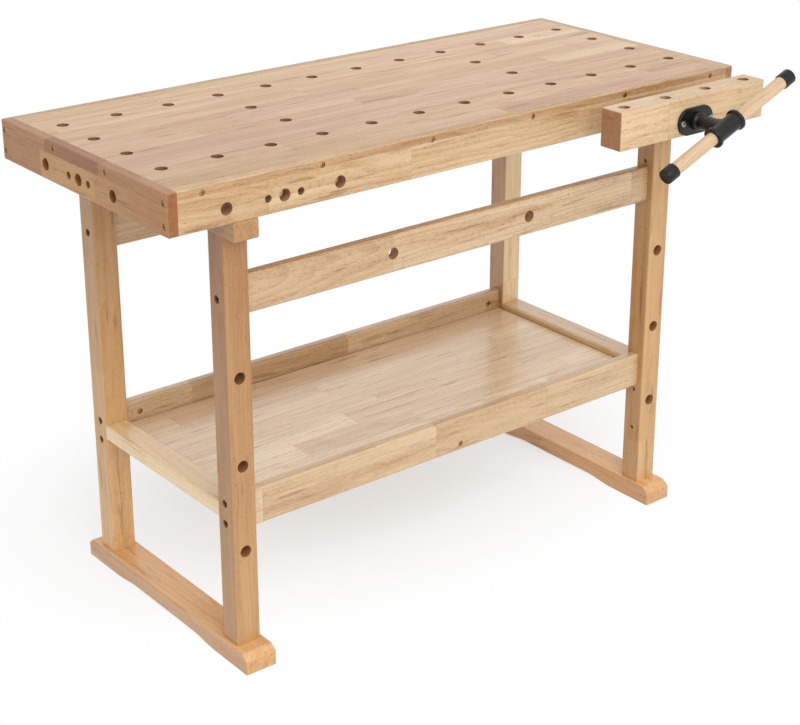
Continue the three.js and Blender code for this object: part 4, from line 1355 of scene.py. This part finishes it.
def make_jaw():
    """The wooden jaw, drilled for dogs, the screw and the rods, and the two rods in it."""
    low, high = box_of("vise_jaw")
    middle = middle_of("vise_jaw")
    dogs = VISE_X + DOG_PITCH * (np.arange(JAW_DOGS) - (JAW_DOGS - 1) / 2)
    holes = [through_hole(Z, (x, middle[Y]), DOG_RADIUS, high[Z] - low[Z]) for x in dogs]
    holes.append(through_hole(Y, (VISE_Z, VISE_X), DOG_RADIUS, high[Y] - low[Y]))
    for offset in ROD_OFFSETS:
        holes.append(blind_hole(Y, HIGH, (VISE_Z, VISE_X + offset), ROD_SOCKET_RADIUS, ROD_SOCKET_DEPTH))
    board("jaw_block", "vise_jaw", (X, Z, Y), JAW_WOOD, 60, holes, body=JAW)
    rods = {}
    for node in ("guide_rod_left", "guide_rod_right"):
        low, high = box_of(node)
        rods[node] = turned(axis_of(node), UNIT[Y], *profile(
            (low[Y], [(8.6, 0), (9.5, 0.9)]), (high[Y], [(9.5, -0.9), (8.6, 0)])))
    make_piece("guide_rods", joined(list(rods.values())), STEEL, JAW, *rods)


def make_flange():
    """The bearing plate on the jaw's front, with a quarter-round front edge, and its two socket screws."""
    low, high = box_of("jaw_flange")
    outline, outward = stadium(VISE_AXIS, high[X] - low[X], high[Z] - low[Z])
    angle = np.linspace(0, math.pi / 2, FLANGE_STEPS)
    insets = [FLANGE_FOOT, 0, *(FLANGE_EDGE * (1 - np.cos(angle)))]
    heights = [0, FLANGE_FOOT, *(high[Y] - low[Y] - FLANGE_EDGE + FLANGE_EDGE * np.sin(angle))]
    form = plate(outline, outward, -UNIT[Y], insets, heights)
    form.points[:, Y] += high[Y]
    make_piece("flange_plate", form, BLACK_COAT, JAW, "jaw_flange")
    heads = {}
    for node in ("flange_screw_left", "flange_screw_right"):
        height = low[Y] - box_of(node)[LOW][Y]
        head = Head(FLANGE_SCREW_RADIUS, height, hexagon(FLANGE_SOCKET_WIDTH), FLANGE_SOCKET_DEPTH)
        heads[node] = fastener(axis_of(node) + low[Y] * UNIT[Y], -UNIT[Y], head)
    make_piece("flange_screws", joined(list(heads.values())), STEEL, JAW, *heads)


def thread_radius(station, angle):
    """Radius of a right-hand screw thread, which rises to a flat crest and falls to a flat root."""
    turn = (station[:, None] / SCREW_LEAD - angle / (2 * math.pi)) % 1.0
    return SCREW_RADIUS - THREAD_DEPTH * np.interp(turn, THREAD_TURNS, THREAD_SUNK)


def make_screw():
    """The screw: plain in the jaw, threaded behind it, and tapered at its end."""
    low, high = box_of("vise_screw")
    stations = np.arange(low[Y], high[Y], SCREW_LEAD / THREAD_STEPS)
    radii = thread_radius(stations, loop_angles(SMALL_STEPS))
    plain = stations < box_of("vise_jaw")[LOW][Y] + PLAIN_LENGTH
    radii[plain] = SCREW_RADIUS
    taper = np.interp(stations, [high[Y] - TIP_LENGTH, high[Y]], [SCREW_RADIUS, TIP_RADIUS])
    form = turned(VISE_AXIS, UNIT[Y], np.minimum(radii, taper[:, None]), stations, SMALL_STEPS)
    make_piece("screw_spindle", form, STEEL, SCREW, "vise_screw")


def make_hub():
    """The cross hub: a rimmed sleeve for the bar, and a flared neck that fits the sleeve's round side."""
    low, high = box_of("screw_hub")
    centre = np.array([VISE_X, low[Y] + HUB_RIM_RADIUS, VISE_Z])
    radii, stations = profile((-HUB_HALF, [
        (11.8, 0), (18.2, 0), (18.8, 0.3), (19, 0.9), (19, 4.9), (18.8, 5.5), (18.2, 5.8), (16.4, 6.3),
        (15.7, 6.9), (15.5, 8.3)]))
    radii = [*radii, *radii[::-1], radii[0]]
    stations = [*stations, *-stations[::-1], stations[0]]
    sleeve = turned(centre, BAR_WAY, radii, stations, closed=True)

    length = high[Y] - COLLAR_LENGTH - centre[Y]
    run = np.linspace(0, 1, NECK_STEPS)
    neck = NECK_RADIUS + NECK_FLARE * (1 - run) ** FLARE_POWER
    lever = ways_round(UNIT[Y], TURN_STEPS) @ ACROSS_BAR
    saddle = np.sqrt(HUB_RADIUS ** 2 - (neck[0] * lever) ** 2)
    collar, collar_stations = profile(
        (length, [(13, 0.4), (14.6, 1), (15.6, 1.9), (16, 3), (16, 10), (15.6, 10.5)]))
    radii = [neck[0] * NECK_ROOT, *neck, *collar]
    stations = [saddle - NECK_SINK, *(saddle + (length - saddle) * run[:, None]), *collar_stations]
    form = joined([sleeve, turned(centre, UNIT[Y], radii, stations)])
    make_piece("hub_casting", form, BLACK_COAT, SCREW, "screw_hub")


def make_handle():
    """The sliding wooden bar and its two rubber caps."""
    middle = (box_of("handle_cap_left")[LOW] + box_of("handle_cap_right")[HIGH]) / 2
    form = turned(middle, BAR_WAY, *profile(
        (-BAR_HALF, [(10.9, 0), (11.5, 0.6)]), (BAR_HALF, [(11.5, -0.6), (10.9, 0)])))
    bar = make_piece("sliding_bar", form, BAR_WOOD, HANDLE, "handle_bar")
    lay_grain(bar, middle, np.array([BAR_WAY, ACROSS_BAR, UNIT[Y]]), 70)
    cap = profile((BAR_HALF, [
        (11.7, -20.7), (12.9, -20.7), (13.4, -20.3), (13.5, -19.6), (13.5, 1.0), (13.2, 2.2), (12.4, 3.0),
        (11.4, 3.3), (10.6, 3.2), (10.2, 3.0), (9.9, 2.9)]))
    caps = [turned(middle, sign * BAR_WAY, *cap) for sign in (-1, 1)]
    make_piece("bar_caps", joined(caps), BLACK_RUBBER, HANDLE, "handle_cap_left", "handle_cap_right")


def dress_collar():
    """The screw's collar keeps its CAD solid, in the steel of the screw."""
    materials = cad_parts["screw_collar"].data.materials
    materials.clear()
    materials.append(STEEL.material)


# The studio


def make_floor():
    """A white floor that holds a soft shadow round the bench and is plain white further off."""
    material, tree, shader = new_material("studio floor")
    set_inputs(shader, {"Base Color": FLOOR_COLOUR, "Roughness": FLOOR_ROUGHNESS, "Specular IOR Level": 0.0})
    place = add_node(tree, "ShaderNodeTexCoord").outputs["Object"]
    from_middle = vectors("DIVIDE", vectors("SUBTRACT", place, SHADOW_MIDDLE), SHADOW_REACH)
    far = ranged(vectors("LENGTH", from_middle), *SHADOW_FADE, SHADOW_GLOW, 1.0)
    glow = add_node(tree, "ShaderNodeEmission", {"Color": (1, 1, 1, 1), "Strength": 1.0})
    both = add_node(tree, "ShaderNodeMixShader", {
        0: maths("MULTIPLY", far, seen_rays(tree)), 1: shader.outputs[0], 2: glow.outputs[0]})
    set_inputs(tree.nodes["Material Output"], {"Surface": both.outputs[0]})
    corners = [(x * FLOOR_REACH, y * FLOOR_REACH, 0) for x, y in ((-1, -1), (1, -1), (1, 1), (-1, 1))]
    mesh = bpy.data.meshes.new("floor")
    mesh.from_pydata(corners, [], [(0, 1, 2, 3)])
    mesh.materials.append(material)
    floor = bpy.data.objects.new("floor", mesh)
    bpy.context.scene.collection.objects.link(floor)


def make_world():
    """Even white surroundings, a little stronger where they are seen or mirrored than where they light."""
    world = bpy.data.worlds.new("studio")
    bpy.context.scene.world = world
    world.use_nodes = True
    tree = world.node_tree
    strength = add_node(tree, "ShaderNodeMapRange", {0: seen_rays(tree), 3: WORLD_LIGHT, 4: 1.0}).outputs[0]
    set_inputs(tree.nodes["Background"], {"Color": (1, 1, 1, 1), "Strength": strength})


def make_lamp():
    """A large soft lamp in front of the bench."""
    lamp = bpy.data.lights.new("key", "AREA")
    lamp.shape = "DISK"
    lamp.size = LAMP_SIZE
    lamp.energy = LAMP_POWER
    holder = bpy.data.objects.new("key", lamp)
    holder.location = LAMP_PLACE
    holder.rotation_euler = (Vector(LAMP_TARGET) - Vector(LAMP_PLACE)).to_track_quat("-Z", "Y").to_euler()
    bpy.context.scene.collection.objects.link(holder)


def make_camera():
    """The camera at the front left of the bench, looking down at it."""
    lens = bpy.data.cameras.new("camera")
    lens.sensor_width = SENSOR_WIDTH
    lens.lens = LENS
    lens.shift_y = LENS_SHIFT
    lens.clip_end = CLIP_END
    camera = bpy.data.objects.new("camera", lens)
    turn = Matrix.Rotation(CAMERA_TURN, 4, "Z") @ Matrix.Rotation(CAMERA_TILT, 4, "X")
    camera.matrix_world = Matrix.Translation(CAMERA_PLACE) @ turn
    bpy.context.scene.collection.objects.link(camera)
    bpy.context.scene.camera = camera


make_panel()
make_aprons()
make_end_boards()
make_legs()
make_rails()
make_frame_bolts()
make_wood_screws()
make_vise_inserts()
make_nut()
make_sleeves()
make_jaw()
make_flange()
make_screw()
make_hub()
make_handle()
dress_collar()
make_floor()
make_world()
make_lamp()
make_camera()
bpy.context.scene.view_settings.view_transform = "Standard"
